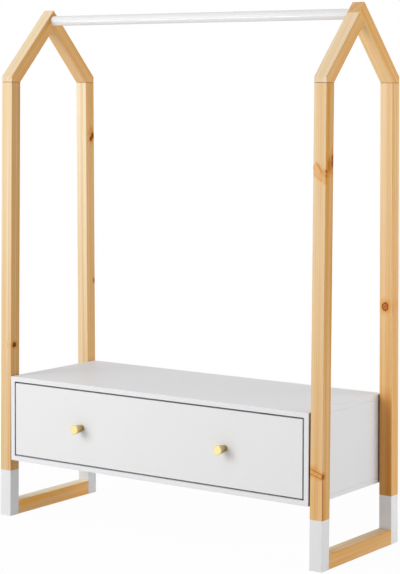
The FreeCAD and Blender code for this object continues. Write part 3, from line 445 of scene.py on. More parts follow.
def wood_figure(name):
    """Growth rings round a pith outside the board, fibres and broad stripes along the grain."""
    sheet, given, out = new_group(
        name,
        {"Vector": "Vector", "Pith": "Vector", "Ring": "Float", "Swell": "Float", "Seed": "Float"},
        {"Late": "Float", "Fibre": "Float", "Stripe": "Float", "Rosy": "Float"})
    at, seed = given["Vector"], given["Seed"]
    wander = sheet.noise(at, (8, 8, 1.1), seed, 2.0)["Color"]
    wander = sheet.vector("SUBTRACT", wander, (0.5, 0.5, 0.5))
    wander = sheet.vector("MULTIPLY", wander, (14 * MM, 14 * MM, 0))
    across = sheet.vector("MULTIPLY", sheet.vector("SUBTRACT", at, given["Pith"]), (1, 1, 0.012))
    radius = sheet.vector("LENGTH", sheet.vector("ADD", across, wander))
    radius = sheet.math("ADD", radius, given["Swell"])
    count = sheet.math("DIVIDE", radius, given["Ring"])
    place = sheet.math("ADD", sheet.math("MULTIPLY", count, 0.37), seed)
    inputs = {"W": place, "Scale": 1.0, "Detail": 1.0}
    uneven = sheet.add("ShaderNodeTexNoise", inputs, noise_dimensions="1D").outputs["Fac"]
    count = sheet.math("ADD", count, sheet.math("MULTIPLY", uneven, 2.2))
    part = sheet.math("FRACT", count)
    inputs = {"W": sheet.math("FLOOR", count)}
    year = sheet.add("ShaderNodeTexWhiteNoise", inputs, noise_dimensions="1D").outputs["Value"]
    edge = sheet.math("SUBTRACT", 1.0, sheet.rise(part, 0.92, 1.0))
    late = sheet.math("MULTIPLY", sheet.rise(part, 0.30, 0.86), edge)
    late = sheet.math("MULTIPLY", late, sheet.spread(year, 0.4, 1.0))
    sheet.feed(out["Late"], late)
    sheet.feed(out["Fibre"], sheet.noise(at, (620, 620, 9), seed, 3.0, 0.6)["Fac"])
    sheet.feed(out["Stripe"], sheet.noise(at, (70, 70, 1.2), seed, 2.0)["Fac"])
    rosy = sheet.noise(at, (95, 95, 1.6), sheet.math("ADD", seed, 31), 1.0)["Fac"]
    sheet.feed(out["Rosy"], sheet.rise(rosy, 0.5, 0.72))
    return sheet.tree


def wood_knot(name):
    """A branch through the board: its core, the stain in and round it, and the grain it bends."""
    sheet, given, out = new_group(
        name,
        {"Vector": "Vector", "Centre": "Vector", "Along": "Vector", "Radius": "Float", "Squash": "Vector",
         "Start": "Float", "End": "Float", "Fade": "Float", "Core": "Float", "Dark": "Float",
         "Ring": "Float", "Glow": "Float"},
        {"Core": "Float", "Stain": "Float", "Swell": "Float"})
    away = sheet.vector("SUBTRACT", given["Vector"], given["Centre"])
    reach = sheet.vector("DOT_PRODUCT", away, given["Along"])
    across = sheet.vector("SUBTRACT", away, sheet.scaled(given["Along"], reach))
    across = sheet.vector("MULTIPLY", across, given["Squash"])
    ragged = sheet.noise(given["Vector"], (190, 190, 150), (2.7, 0, 0), 3.0, 0.6)["Fac"]
    start = sheet.rise(reach, sheet.math("SUBTRACT", given["Start"], given["Fade"]), given["Start"])
    end = sheet.rise(reach, given["End"], sheet.math("ADD", given["End"], given["Fade"]))
    run = sheet.math("MULTIPLY", start, sheet.math("SUBTRACT", 1.0, end))
    length = sheet.vector("LENGTH", across)
    taper = sheet.math("MAXIMUM", run, KNOT_THINNEST)
    turn = sheet.math("DIVIDE", length, sheet.math("MULTIPLY", given["Radius"], taper))
    turn = sheet.math("ADD", turn, sheet.spread(ragged, -0.4, 0.4))
    waver = sheet.math("MULTIPLY", ragged, KNOT_WAVER)
    years = sheet.math("MULTIPLY_ADD", length, 2 * math.pi / KNOT_RING, waver)
    years = sheet.math("MULTIPLY_ADD", sheet.math("SINE", years), KNOT_RING_DEPTH, KNOT_RING_MEAN)
    core = sheet.math("SUBTRACT", 1.0, sheet.rise(turn, 0.3, 0.75))
    disc = sheet.math("SUBTRACT", 1.0, sheet.rise(turn, 0.7, 1.15))
    ring = sheet.math("MULTIPLY", disc, sheet.rise(turn, 0.35, 0.75))
    glow = sheet.math("SUBTRACT", 1.0, sheet.rise(turn, 0.7, 2.3))
    stain = sheet.math("MULTIPLY", glow, sheet.math("MULTIPLY", given["Glow"], 0.4))
    for mask, strength in ((sheet.math("MULTIPLY", disc, years), given["Dark"]), (ring, given["Ring"])):
        stain = sheet.math("MAXIMUM", stain, sheet.math("MULTIPLY", mask, strength))
    sheet.feed(out["Core"], sheet.math("MULTIPLY", sheet.math("MULTIPLY", core, run), given["Core"]))
    sheet.feed(out["Stain"], sheet.math("MULTIPLY", stain, run))
    swell = sheet.math("SUBTRACT", 1.0, sheet.rise(turn, 0.0, 3.2))
    sheet.feed(out["Swell"], sheet.math("MULTIPLY", sheet.math("MULTIPLY", swell, run), given["Radius"]))
    return sheet.tree


def lacquer_skin(name):
    """Orange peel, slow drift of tone and fine specks of sprayed paint."""
    sheet, given, out = new_group(
        name, {"Vector": "Vector", "Seed": "Float"},
        {"Peel": "Float", "Drift": "Float", "Speck": "Float"})
    sheet.feed(out["Peel"], sheet.noise(given["Vector"], (380, 380, 380), given["Seed"], 2.0)["Fac"])
    sheet.feed(out["Drift"], sheet.noise(given["Vector"], (3.1, 3.1, 3.1), given["Seed"], 2.0)["Fac"])
    sheet.feed(out["Speck"], sheet.noise(given["Vector"], (1900, 1900, 1900), given["Seed"], 1.0)["Fac"])
    return sheet.tree


def worked_metal(name):
    """Lines that a tool leaves on turned, rolled or plated metal, and uneven tarnish."""
    sheet, given, out = new_group(
        name, {"Vector": "Vector", "Stretch": "Vector", "Seed": "Float"},
        {"Line": "Float", "Tarnish": "Float", "Spangle": "Float"})
    along = sheet.vector("MULTIPLY", given["Vector"], given["Stretch"])
    sheet.feed(out["Line"], sheet.noise(along, (1, 1, 1), given["Seed"], 3.0, 0.65)["Fac"])
    sheet.feed(out["Tarnish"], sheet.noise(given["Vector"], (140, 140, 140), given["Seed"], 3.0)["Fac"])
    cells = sheet.add("ShaderNodeTexVoronoi", {"Vector": given["Vector"], "Scale": 900.0})
    spangle = sheet.add("ShaderNodeSeparateColor", {"Color": cells.outputs["Color"]})
    sheet.feed(out["Spangle"], spangle.outputs["Red"])
    return sheet.tree


class Finish:
    """A new material with its Principled shader, filled by the functions below."""

    def __init__(self, name):
        self.material = bpy.data.materials.new(name)
        self.material.use_nodes = True
        self.sheet = Sheet(self.material.node_tree)
        self.shader = self.material.node_tree.nodes["Principled BSDF"]
        place = self.sheet.add("ShaderNodeTexCoord")
        self.at = place.outputs["Object"]
        self.normal = place.outputs["Normal"]

    def plain(self, **values):
        """Sets inputs that are the same all over."""
        for name, value in values.items():
            self.shader.inputs[name.replace("_", " ").title()].default_value = value

    def vary(self, **values):
        """Links inputs that change over the surface."""
        for name, value in values.items():
            self.sheet.feed(self.shader.inputs[name.replace("_", " ").title()], value)

    def shine(self, level):
        """Sets how strongly the surface mirrors."""
        self.shader.inputs["Specular IOR Level"].default_value = level

    def bump(self, height, depth):
        """Raises the surface by a height map."""
        inputs = {"Height": height, "Distance": depth, "Strength": 1.0}
        self.vary(normal=self.sheet.add("ShaderNodeBump", inputs).outputs["Normal"])


def paint_skin(finish, seed):
    """The skin of sprayed paint, placed in a material."""
    return finish.sheet.group(shared("lacquer skin", lacquer_skin), {"Vector": finish.at, "Seed": seed})


def knot_tint(sheet, stain, wood):
    """Tint of a stained place, from clear through resin and bark to nearly black."""
    ramp = sheet.add("ShaderNodeValToRGB", {"Fac": stain})
    stops = ramp.color_ramp.elements
    stops[0].color = WHITE
    stops[1].color = rgba(wood.char)
    stops.new(RESIN_STOP).color = rgba(wood.resin)
    stops.new(BARK_STOP).color = rgba(wood.bark)
    return ramp.outputs["Color"]


def pine(name, board, wood, paint):
    """Clear-lacquered pine for one frame piece, with its knots and the white dip on a leg."""
    finish = Finish(f"pine_{name}")
    sheet = finish.sheet
    low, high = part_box(name)
    inputs = {"Vector": finish.at, "Location": (low + high) / 2, "Rotation": (board.lean, 0, 0)}
    along = sheet.add("ShaderNodeMapping", inputs, vector_type="TEXTURE").outputs["Vector"]
    core = stain = swell = 0.0
    for knot in board.knots:
        made = sheet.group(shared("wood knot", wood_knot), {
            "Vector": finish.at, "Centre": Vector(knot.centre) * MM,
            "Along": Vector(knot.along).normalized(), "Radius": knot.radius * MM,
            "Squash": (1, 1, 1 / knot.tall), "Start": knot.start * MM, "End": knot.end * MM,
            "Fade": knot.fade * MM, "Core": knot.core, "Dark": knot.dark, "Ring": knot.ring,
            "Glow": knot.glow})
        core = sheet.math("MAXIMUM", made["Core"], core)
        stain = sheet.math("MAXIMUM", made["Stain"], stain)
        swell = sheet.math("ADD", made["Swell"], swell)
    figure = sheet.group(shared("wood figure", wood_figure), {
        "Vector": along, "Pith": Vector((*board.pith, 0)) * MM, "Ring": wood.ring, "Swell": swell,
        "Seed": board.seed})
    height = sheet.parts(finish.at)["Z"]
    facing = sheet.math("ABSOLUTE", sheet.parts(finish.normal)["X"])
    grain = (0, -math.sin(board.lean), math.cos(board.lean))
    ends = sheet.math("ABSOLUTE", sheet.vector("DOT_PRODUCT", finish.normal, grain))
    ends = sheet.rise(ends, 0.75, 0.95, END_SHARE)
    stripe = sheet.spread(figure["Stripe"], -0.55, 0.55)
    fall = sheet.math("ADD", stripe, sheet.rise(height, JOINT_Z, FALL_LOW, board.fall))
    looks = []
    # Faces across the width take the side look: lit and shaded looks of one wood, partly the wood's own and
    # partly painted light and shade
    for face, drift in ((board.front, fall), (board.side, stripe)):
        warmth = sheet.math("ADD", drift, face.warmth)
        looks.append(sheet.blend(
            warmth, shade(wood.blond, face.tone), shade(wood.honey, face.tone), beyond=True))
    colour = sheet.blend(sheet.rise(facing, 0.4, 0.85), *looks)
    rosy = sheet.math("MULTIPLY", figure["Rosy"], ROSY_SHARE)
    colour = sheet.blend(rosy, colour, rgba(wood.rosy))
    late = sheet.math("MULTIPLY", figure["Late"], LATE_SHARE)
    fibre = sheet.rise(figure["Fibre"], 0.45, 0.8, FIBRE_SHARE)
    for mask, tint in ((late, wood.late), (fibre, wood.fibre), (ends, wood.end_grain)):
        colour = sheet.blend(mask, colour, rgba(tint), "MULTIPLY")
    # Painted shadow: the box's shadow darkens the front of the leg below the top of the box
    if board.box_shadow:
        inner = sheet.rise(sheet.parts(finish.normal)["Y"], -0.4, -0.85, board.box_shadow)
        below = sheet.rise(height, BOX_SHADOW_TOP + BOX_SHADOW_ABOVE, BOX_SHADOW_TOP - BOX_SHADOW_BELOW)
        inner = sheet.math("MULTIPLY", inner, below)
        colour = sheet.blend(inner, colour, rgba(wood.box_shadow), "MULTIPLY")
    if board.knots:
        colour = sheet.blend(core, colour, rgba(wood.knot_core))
        colour = sheet.blend(1.0, colour, knot_tint(sheet, stain, wood), "MULTIPLY")
    seam = sheet.math("ABSOLUTE", sheet.math("SUBTRACT", height, JOINT_Z))
    seam = sheet.math("SUBTRACT", SEAM_SHARE, sheet.rise(seam, SEAM_LINE, SEAM_FADE, SEAM_SHARE))
    colour = sheet.blend(seam, colour, rgba(wood.seam), "MULTIPLY")
    roughness = sheet.spread(figure["Fibre"], 0.42, 0.58)
    relief = sheet.math("MULTIPLY_ADD", figure["Late"], 0.5, figure["Fibre"])
    if name.endswith("_leg"):
        skin = paint_skin(finish, board.seed)
        ragged = sheet.math("ADD", height, sheet.spread(skin["Peel"], -DIP_RAGGED, DIP_RAGGED))
        bare = sheet.rise(ragged, wood.dip - DIP_SOFT, wood.dip + DIP_SOFT)
        # A dip above 1 brightens the foot's white as painted light
        thin, full = (shade(paint.white, board.dip * cover) for cover in (0.98, 1.0))
        colour = sheet.blend(bare, sheet.blend(skin["Drift"], thin, full), colour)
        gloss = sheet.spread(skin["Peel"], paint.gloss - 0.05, paint.gloss + 0.05)
        step = sheet.math("SUBTRACT", roughness, gloss)
        roughness = sheet.math("MULTIPLY_ADD", step, bare, gloss)
        step = sheet.math("SUBTRACT", relief, skin["Peel"])
        relief = sheet.math("MULTIPLY_ADD", step, bare, skin["Peel"])
    finish.shine(PINE_SHINE)
    finish.vary(base_color=colour, roughness=roughness)
    finish.bump(relief, PINE_RELIEF)
    return finish.material


def beech(name, wood):
    """Plain beech with short flecks."""
    finish = Finish(name)
    sheet = finish.sheet
    figure = sheet.group(shared("wood figure", wood_figure), {
        "Vector": finish.at, "Pith": BEECH_PITH, "Ring": wood.ring, "Swell": 0.0, "Seed": 12.0})
    fleck = sheet.rise(figure["Fibre"], 0.5, 0.75, 0.5)
    colour = sheet.blend(fleck, rgba(wood.beech), shade(wood.beech, 0.7))
    finish.vary(base_color=colour, roughness=sheet.spread(figure["Fibre"], 0.5, 0.7))
    finish.bump(figure["Fibre"], BEECH_RELIEF)
    return finish.material


def leg_slots(finish):
    """1 on the outer faces of the box where a leg stands close to them: the slots where shade is painted.
    """
    sheet = finish.sheet
    place = sheet.parts(finish.at)
    outward = sheet.rise(sheet.math("ABSOLUTE", sheet.parts(finish.normal)["X"]), 0.5, 0.9)
    reach = sheet.math("ABSOLUTE", sheet.math("SUBTRACT", place["Y"], (FOOT_FRONT + FOOT_REAR) / 2))
    reach = sheet.math("MULTIPLY_ADD", place["Z"], math.tan(LEG_LEAN), reach)
    foot = (FOOT_REAR - FOOT_FRONT) / 2
    soft = 0.4 * MM
    inner = sheet.rise(reach, foot - LEG_DEPTH - soft, foot - LEG_DEPTH + soft)
    outer = sheet.rise(reach, foot + soft, foot - soft)
    return sheet.math("MULTIPLY", outward, sheet.math("MULTIPLY", inner, outer))


def lacquer(name, colour, gloss, seed, depth=PEEL_DEPTH, mottle=PEEL_MOTTLE, shine=PLAIN_SHINE, dust=None):
    """Sprayed paint with a fine orange peel and mottled gloss, and painted shade in the slots beside the
    legs.
    """
    finish = Finish(name)
    sheet = finish.sheet
    skin = paint_skin(finish, seed)
    tone = sheet.blend(skin["Drift"], shade(colour, 0.975), shade(colour, 1.015))
    tone = sheet.blend(sheet.rise(skin["Speck"], 0.62, 0.75, 0.10), tone, shade(colour, 0.82))
    # Painted shade: darkens the box's outer faces in the slots beside the legs, where shade falls
    if dust:
        tone = sheet.blend(sheet.math("MULTIPLY", leg_slots(finish), SHADING_COVER), tone, rgba(dust))
    roughness = sheet.spread(skin["Peel"], gloss - mottle / 2, gloss + mottle / 2)
    finish.shine(shine)
    finish.vary(base_color=tone, roughness=roughness)
    finish.bump(skin["Peel"], depth)
    return finish.material


def hardboard(name, colour, seed):
    """Thin board, smooth paint on the front and the print of the press screen on the back."""
    finish = Finish(name)
    sheet = finish.sheet
    skin = paint_skin(finish, seed)
    place = sheet.parts(finish.at)
    phases = [sheet.math("MULTIPLY", place[label], 2 * math.pi / SCREEN_PITCH) for label in "XZ"]
    screen = sheet.math("MULTIPLY", *(sheet.math("SINE", phase) for phase in phases))
    rear = sheet.rise(sheet.parts(finish.normal)["Y"], 0.5, 0.9)
    screen = sheet.math("MULTIPLY", screen, rear)
    tone = sheet.blend(skin["Drift"], shade(colour, 0.96), shade(colour, 1.02))
    tone = sheet.blend(sheet.rise(screen, 0.1, 0.9, 0.18), tone, shade(colour, 0.75))
    finish.vary(base_color=tone, roughness=sheet.spread(skin["Peel"], 0.5, 0.65))
    finish.bump(sheet.math("MULTIPLY_ADD", screen, 2.0, skin["Peel"]), HARDBOARD_RELIEF)
    return finish.material


def turned(finish, centre, height):
    """Vector of the distance from the nearest turning axis, which lies along the depth of the rack."""
    sheet = finish.sheet
    place = sheet.parts(finish.at)
    across = sheet.math("SUBTRACT", sheet.math("ABSOLUTE", place["X"]), centre)
    down = sheet.math("SUBTRACT", place["Z"], height)
    squares = (sheet.math("POWER", part, 2.0) for part in (across, down))
    radius = sheet.math("SQRT", sheet.math("ADD", *squares))
    return sheet.add("ShaderNodeCombineXYZ", {"X": radius, "Y": place["Y"], "Z": 0.0}).outputs["Vector"]


def knob_brass(name, metal):
    """Lacquered brass with tarnish and tool lines; its face is painted brighter than its cone as painted
    light, the cone painted darker towards its foot as painted shade, and the rim of the face painted darker
    as a painted reflection.
    """
    finish = Finish(name)
    sheet = finish.sheet
    low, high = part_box("right_knob")
    middle = (low + high) / 2
    spun = turned(finish, middle.x, middle.z)
    lathe = sheet.group(shared("worked metal", worked_metal), {
        "Vector": spun, "Stretch": (3200, 3200, 1), "Seed": 3.0})
    # Painted shade: the cone is a darker copy of the brass and darkens further towards its foot
    foot = sheet.rise(sheet.parts(finish.at)["Y"], low.y, high.y)
    cone = sheet.blend(foot, shade(metal.brass, 0.72), shade(metal.patina_and_shade, 0.5))
    cone = sheet.blend(sheet.math("MULTIPLY", lathe["Tarnish"], 0.6), cone, rgba(metal.patina_and_shade))
    # Painted light: the front face takes the bright brass, the cone the shaded copy
    face = sheet.math("SUBTRACT", 1.0, sheet.rise(sheet.parts(finish.normal)["Y"], -0.95, -0.6))
    tip = (high.x - low.x) / 2
    # Painted reflection: the rim of the face is darkened
    rim = sheet.rise(sheet.parts(spun)["X"], tip - RIM_START, tip - RIM_END, 0.4)
    tone = sheet.blend(face, cone, sheet.blend(rim, rgba(metal.brass), rgba(metal.patina_and_shade)))
    tone = sheet.blend(sheet.rise(lathe["Line"], 0.5, 0.8, 0.35), tone, rgba(metal.patina_and_shade))
    finish.plain(metallic=1.0)
    finish.vary(base_color=tone, roughness=sheet.spread(lathe["Line"], 0.24, 0.42))
    finish.bump(lathe["Line"], LATHE_RELIEF)
    return finish.material


def plated(name, colour, stretch, seed, roughness=0.32):
    """Plated metal with faint spangles and drawn lines."""
    finish = Finish(name)
    sheet = finish.sheet
    worked = sheet.group(shared("worked metal", worked_metal), {
        "Vector": finish.at, "Stretch": stretch, "Seed": seed})
    tone = sheet.blend(worked["Tarnish"], shade(colour, 0.82), shade(colour, 1.1))
    tone = sheet.blend(sheet.math("MULTIPLY", worked["Spangle"], 0.16), tone, shade(colour, 0.7))
    finish.plain(metallic=1.0)
    finish.vary(base_color=tone, roughness=sheet.spread(worked["Line"], roughness - 0.1, roughness + 0.12))
    finish.bump(worked["Line"], PLATING_RELIEF)
    return finish.material


def moulded(name, colour, seed, roughness):
    """Moulded plastic with a fine spark-eroded grain."""
    finish = Finish(name)
    sheet = finish.sheet
    skin = paint_skin(finish, seed)
    tone = sheet.blend(skin["Peel"], shade(colour, 0.93), shade(colour, 1.05))
    finish.vary(base_color=tone, roughness=sheet.spread(skin["Speck"], roughness - 0.1, roughness + 0.1))
    finish.bump(skin["Speck"], PLASTIC_RELIEF)
    return finish.material


def dress(material, *names):
    """Gives solids of the rack a material."""
    for name in names:
        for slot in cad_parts[name].material_slots:
            slot.material = material


# Pieces

class RACK_OT_frames(bpy.types.Operator):
    """Pine of the legs, rafters and stretchers, with the white dip on the feet"""
    bl_idname = "rack.frames"
    bl_label = "Pine end frames"

    def execute(self, context):
        for name, board in BOARDS.items():
            dress(pine(name, board, context.scene.rack_wood, context.scene.rack_paint), name)
        return {"FINISHED"}


class RACK_OT_rail(bpy.types.Operator):
    """White rail between the ridges"""
    bl_idname = "rack.rail"
    bl_label = "Clothes rail"

    def execute(self, context):
        paint = context.scene.rack_paint
        white = lacquer(
            "rail_white", paint.rail, paint.rail_gloss, seed=21.0, depth=RAIL_PEEL, mottle=RAIL_MOTTLE,
            shine=RAIL_SHINE)
        dress(white, "clothes_rail")
        return {"FINISHED"}


class RACK_OT_box(bpy.types.Operator):
    """White box between the end frames, with its back board"""
    bl_idname = "rack.box"
    bl_label = "Drawer box"

    def execute(self, context):
        paint = context.scene.rack_paint
        for number, name in enumerate(("box_top", "box_bottom", "box_left_side", "box_right_side")):
            # The box boards get painted shade in the slots beside the legs
            white = lacquer(f"white_{name}", paint.box, paint.box_gloss, seed=2.0 + number, dust=paint.dust)
            dress(white, name)
        dress(hardboard("hardboard_back", paint.board, seed=7.0), "box_back")
        return {"FINISHED"}


# Nails of the back board: radius and height of a head, distance from the edge, and counts
NAIL_HEAD = 2.6 * MM
NAIL_CROWN = 0.55 * MM
NAIL_INSET = 7 * MM
NAIL_STEPS = 14
NAILS_ACROSS = 9
NAILS_UP = 2

# Outline of a nail head from its crown to below its rim, as shares of its radius and height
NAIL_OUTLINE = ((0.0, 1.0), (0.45, 0.93), (0.8, 0.66), (1.0, 0.2), (1.0, -0.6))


def nail_places():
    """Nail positions round the edge of the back board."""
    left, right = BACK_LOW.x + NAIL_INSET, BACK_HIGH.x - NAIL_INSET
    low, high = BACK_LOW.z + NAIL_INSET, BACK_HIGH.z - NAIL_INSET
    for step in range(NAILS_ACROSS):
        x = left + (right - left) * step / (NAILS_ACROSS - 1)
        for z in (low, high):
            yield x, z
    for step in range(1, NAILS_UP + 1):
        z = low + (high - low) * step / (NAILS_UP + 1)
        for x in (left, right):
            yield x, z


def add_nail(mesh, x, z):
    """A low domed nail head, turned round its axis, with its rim in the board."""
    rings = []
    for reach, lift in NAIL_OUTLINE:
        y = BACK_HIGH.y + NAIL_CROWN * lift
        radius = NAIL_HEAD * reach
        ring = []
        for step in range(NAIL_STEPS if radius else 1):
            angle = 2 * math.pi * step / NAIL_STEPS
            place = (x + radius * math.cos(angle), y, z + radius * math.sin(angle))
            ring.append(mesh.verts.new(place))
        rings.append(ring)
    for inner, outer in zip(rings, rings[1:]):
        for step in range(NAIL_STEPS):
            after = (step + 1) % NAIL_STEPS
            if len(inner) == 1:
                mesh.faces.new((inner[0], outer[after], outer[step]))
            else:
                mesh.faces.new((inner[step], inner[after], outer[after], outer[step]))
    mesh.faces.new(rings[-1])


class RACK_OT_nails(bpy.types.Operator):
    """Nails that hold the back board"""
    bl_idname = "rack.nails"
    bl_label = "Back nails"

    def execute(self, context):
        mesh = bmesh.new()
        for x, z in nail_places():
            add_nail(mesh, x, z)
        bmesh.ops.recalc_face_normals(mesh, faces=mesh.faces)
        data = bpy.data.meshes.new("back_nails")
        mesh.to_mesh(data)
        mesh.free()
        data.shade_smooth()
        piece = bpy.data.objects.new("back_nails", data)
        context.scene.collection.objects.link(piece)
        zinc = plated("zinc_nails", context.scene.rack_metal.zinc, stretch=(900, 900, 900), seed=17.0)
        data.materials.append(zinc)
        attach(piece, "stand")
        return {"FINISHED"}


class RACK_OT_drawer(bpy.types.Operator):
    """White drawer: front, sides, back and bottom"""
    bl_idname = "rack.drawer"
    bl_label = "Drawer"

    def execute(self, context):
        paint = context.scene.rack_paint
        names = ("drawer_front", "drawer_left_side", "drawer_right_side", "drawer_back")
        for number, name in enumerate(names):
            dress(lacquer(f"white_{name}", paint.white, paint.gloss, seed=9.0 + number), name)
        dress(hardboard("hardboard_bottom", paint.board, seed=14.0), "drawer_bottom")
        return {"FINISHED"}


class RACK_OT_knobs(bpy.types.Operator):
    """Conical brass knobs"""
    bl_idname = "rack.knobs"
    bl_label = "Knobs"

    def execute(self, context):
        dress(knob_brass("knob_brass", context.scene.rack_metal), "left_knob", "right_knob")
        return {"FINISHED"}


class RACK_OT_runners(bpy.types.Operator):
    """Roller runners: enamelled rails, nylon rollers and steel axles"""
    bl_idname = "rack.runners"
    bl_label = "Runners"

    def execute(self, context):
        metal, paint = context.scene.rack_metal, context.scene.rack_paint
        sides = ("left", "right")
        rails = [f"{side}_{owner}_runner" for side in sides for owner in ("box", "drawer")]
        rollers = [f"{side}_{place}_roller" for side in sides for place in ("front", "rear")]
        axles = [f"{place}_roller_axles" for place in ("front", "rear")]
        dress(lacquer("runner_enamel", paint.enamel, ENAMEL_GLOSS, seed=15.0, depth=ENAMEL_PEEL), *rails)
        dress(moulded("roller_nylon", metal.nylon, seed=16.0, roughness=0.45), *rollers)
        dress(plated("zinc_axles", metal.zinc, stretch=(500, 60, 60), seed=18.0), *axles)
        return {"FINISHED"}


class RACK_OT_fittings(bpy.types.Operator):
    """Dowels, cams, screws, bolts, inserts and spacers"""
    bl_idname = "rack.fittings"
    bl_label = "Fittings"

    def execute(self, context):
        wood, metal = context.scene.rack_wood, context.scene.rack_metal
        dowels = [f"{place}_dowels" for place in ("leg", "stretcher", "ridge", "box", "drawer")]
        screwed = ("base", "box_runner", "drawer_runner", "drawer_back", "knob")
        screws = [f"{place}_screws" for place in screwed]
        zinc = plated("zinc_fittings", metal.zinc, stretch=(400, 400, 40), seed=19.0)
        dress(beech("beech_dowels", wood), *dowels)
        dress(zinc, "cam_discs", "cam_bolts", "box_bolts", *screws)
        dress(plated("insert_brass", metal.insert, stretch=(60, 400, 400), seed=20.0), "leg_inserts")
        dress(moulded("spacer_plastic", metal.washer, seed=22.0, roughness=0.55), "box_spacers")
        return {"FINISHED"}


# Stage

class Lamp(NamedTuple):
    """A soft lamp: where it stands, the point it faces, and its width and height, in metres.

    It may be left out of reflections, show only in them, or light one piece alone.
    """
    place: tuple
    target: tuple
    size: tuple
    mirrored: bool = True
    lights: bool = True
    only: str = ""


# Points that the lamps face, and sizes of lamps
RACK_MIDDLE = (0, 0, 0.55)
OVER_BOX = (0, 0, 0.5)
RAIL_MIDDLE = (0, 0, 1.24)
WIDE = (3.0, 2.4)
STRIP = (1.7, 0.8)
LAMPS = {
    "key": Lamp((-1.5, -3.3, 1.9), RACK_MIDDLE, WIDE),
    "overhead": Lamp((-0.2, -0.4, 3.2), OVER_BOX, WIDE),
    "fill": Lamp((2.7, 1.0, 0.95), OVER_BOX, (1.6, 1.85)),
    "gleam": Lamp((-1.45, -2.0, 0.32), RAIL_MIDDLE, STRIP, lights=False, only="clothes_rail"),
    "bounce": Lamp((0.5, -1.0, 0.1), RAIL_MIDDLE, STRIP, mirrored=False, only="clothes_rail"),
    "back": Lamp((-0.5, 3.4, 0.95), OVER_BOX, (3.6, 1.8), mirrored=False),
}

# Camera film in millimetres, and the floor in metres
FILM_WIDTH = 36
FLOOR_HALF = 9
FLOOR_STEPS = 8
FLOOR_DROP = 0.2 * MM
SHADOW_NEAR = 0.8
SHADOW_FAR = 2.6


def add_lamp(scene, name, power, lamp):
    """Places one lamp of the list above."""
    data = bpy.data.lights.new(name, "AREA")
    data.energy = power
    data.shape = "RECTANGLE"
    data.size, data.size_y = lamp.size
    placed = bpy.data.objects.new(name, data)
    placed.location = lamp.place
    towards = Vector(lamp.target) - Vector(lamp.place)
    placed.rotation_euler = towards.to_track_quat("-Z", "Y").to_euler()
    placed.visible_glossy = lamp.mirrored
    placed.visible_diffuse = lamp.lights
    scene.collection.objects.link(placed)
    if lamp.only:
        lit = bpy.data.collections.new(f"{name}_lit")
        lit.objects.link(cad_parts[lamp.only])
        placed.light_linking.receiver_collection = lit


def seen_directly(sheet):
    """1 for rays that show the background: from the camera, in a reflection or through glass."""
    path = sheet.add("ShaderNodeLightPath").outputs
    seen = sheet.math("MAXIMUM", path["Is Camera Ray"], path["Is Glossy Ray"])
    return sheet.math("MAXIMUM", seen, path["Is Transmission Ray"])


def add_camera(scene, stage):
    """Camera at the photograph's viewing angle."""
    level = math.cos(stage.pitch)
    ahead = Vector((-math.sin(stage.yaw) * level, math.cos(stage.yaw) * level, -math.sin(stage.pitch)))
    right = ahead.cross(Vector((0, 0, 1))).normalized()
    down = ahead.cross(right)
    turned_right = math.cos(stage.roll) * right + math.sin(stage.roll) * down
    turned_up = math.sin(stage.roll) * right - math.cos(stage.roll) * down
    data = bpy.data.cameras.new("camera")
    data.lens = stage.lens
    data.sensor_width = FILM_WIDTH
    data.sensor_fit = "AUTO"
    data.shift_y = stage.drop
    camera = bpy.data.objects.new("camera", data)
    pose = Matrix((turned_right, turned_up, -ahead)).transposed().to_4x4()
    pose.translation = stage.eye
    camera.matrix_world = pose
    scene.collection.objects.link(camera)
    scene.camera = camera


def add_floor(scene, stage):
    """Pale floor that keeps the shadow near the rack, fades into white and is clear from below."""
    mesh = bmesh.new()
    bmesh.ops.create_grid(mesh, x_segments=FLOOR_STEPS, y_segments=FLOOR_STEPS, size=FLOOR_HALF)
    data = bpy.data.meshes.new("floor")
    mesh.to_mesh(data)
    mesh.free()
    floor = bpy.data.objects.new("floor", data)
    floor.location.z = -FLOOR_DROP
    scene.collection.objects.link(floor)
    material = bpy.data.materials.new("floor")
    material.use_nodes = True
    material.node_tree.nodes.clear()
    sheet = Sheet(material.node_tree)
    away = sheet.vector("LENGTH", sheet.add("ShaderNodeTexCoord").outputs["Object"])
    white = sheet.rise(away, SHADOW_NEAR, SHADOW_FAR, 1 - stage.floor_white)
    white = sheet.math("ADD", white, stage.floor_white)
    white = sheet.math("MULTIPLY", white, seen_directly(sheet))
    lit = sheet.add("ShaderNodeBsdfDiffuse", {"Color": rgba(stage.floor)}).outputs["BSDF"]
    glow = sheet.add("ShaderNodeEmission", {"Color": WHITE, "Strength": 1.0}).outputs["Emission"]
    clear = sheet.add("ShaderNodeBsdfTransparent").outputs["BSDF"]
    below = sheet.add("ShaderNodeNewGeometry").outputs["Backfacing"]
    surface = sheet.mix_shaders(below, sheet.mix_shaders(white, lit, glow), clear)
    sheet.add("ShaderNodeOutputMaterial", {"Surface": surface})
    data.materials.append(material)


def add_world(scene, stage):
    """Even light from all round, and white where the background is seen."""
    world = bpy.data.worlds.new("studio")
    world.use_nodes = True
    world.node_tree.nodes.clear()
    sheet = Sheet(world.node_tree)
    light, white = (
        sheet.add("ShaderNodeBackground", {"Color": WHITE, "Strength": strength}).outputs["Background"]
        for strength in (stage.ambient, 1.0))
    surface = sheet.mix_shaders(seen_directly(sheet), light, white)
    sheet.add("ShaderNodeOutputWorld", {"Surface": surface})
    scene.world = world


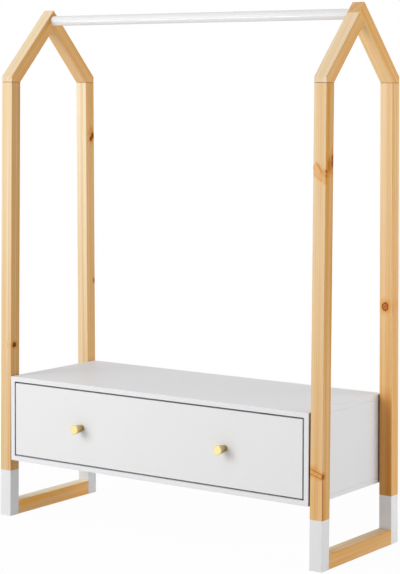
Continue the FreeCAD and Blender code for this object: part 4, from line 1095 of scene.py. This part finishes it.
class RACK_OT_stage(bpy.types.Operator):
    """Camera, lamps, floor and white background"""
    bl_idname = "rack.stage"
    bl_label = "Studio stage"

    def execute(self, context):
        scene, stage = context.scene, context.scene.rack_stage
        scene.view_settings.view_transform = "Standard"
        add_camera(scene, stage)
        add_floor(scene, stage)
        add_world(scene, stage)
        for name, lamp in LAMPS.items():
            add_lamp(scene, name, getattr(stage, name), lamp)
        return {"FINISHED"}


PIECES = (
    RACK_OT_frames, RACK_OT_rail, RACK_OT_box, RACK_OT_nails, RACK_OT_drawer, RACK_OT_knobs,
    RACK_OT_runners, RACK_OT_fittings, RACK_OT_stage,
)
SETTINGS = {
    "rack_wood": RackWood, "rack_paint": RackPaint, "rack_metal": RackMetal, "rack_stage": RackStage,
}


class RACK_PT_panel(bpy.types.Panel):
    """Lists the rack's pieces and settings"""
    bl_idname = "RACK_PT_panel"
    bl_label = "Kids clothing rack"
    bl_space_type = "VIEW_3D"
    bl_region_type = "UI"
    bl_category = "Rack"

    def draw(self, context):
        for piece in PIECES:
            self.layout.operator(piece.bl_idname)
        for name in SETTINGS:
            column = self.layout.column()
            settings = getattr(context.scene, name)
            for key in settings.bl_rna.properties.keys():
                if key not in ("rna_type", "name"):
                    column.prop(settings, key)


def register():
    """Adds the classes and the settings of the scene."""
    for kind in (*SETTINGS.values(), *PIECES, RACK_PT_panel):
        bpy.utils.register_class(kind)
    for name, kind in SETTINGS.items():
        setattr(bpy.types.Scene, name, PointerProperty(type=kind))


def unregister():
    """Takes the settings and the classes away again."""
    for name in SETTINGS:
        delattr(bpy.types.Scene, name)
    for kind in reversed((*SETTINGS.values(), *PIECES, RACK_PT_panel)):
        bpy.utils.unregister_class(kind)


def main():
    """Makes every piece in order."""
    register()
    bpy.ops.rack.frames()
    bpy.ops.rack.rail()
    bpy.ops.rack.box()
    bpy.ops.rack.nails()
    bpy.ops.rack.drawer()
    bpy.ops.rack.knobs()
    bpy.ops.rack.runners()
    bpy.ops.rack.fittings()
    bpy.ops.rack.stage()
    bpy.context.view_layer.update()


if __name__ == "__main__":
    main()
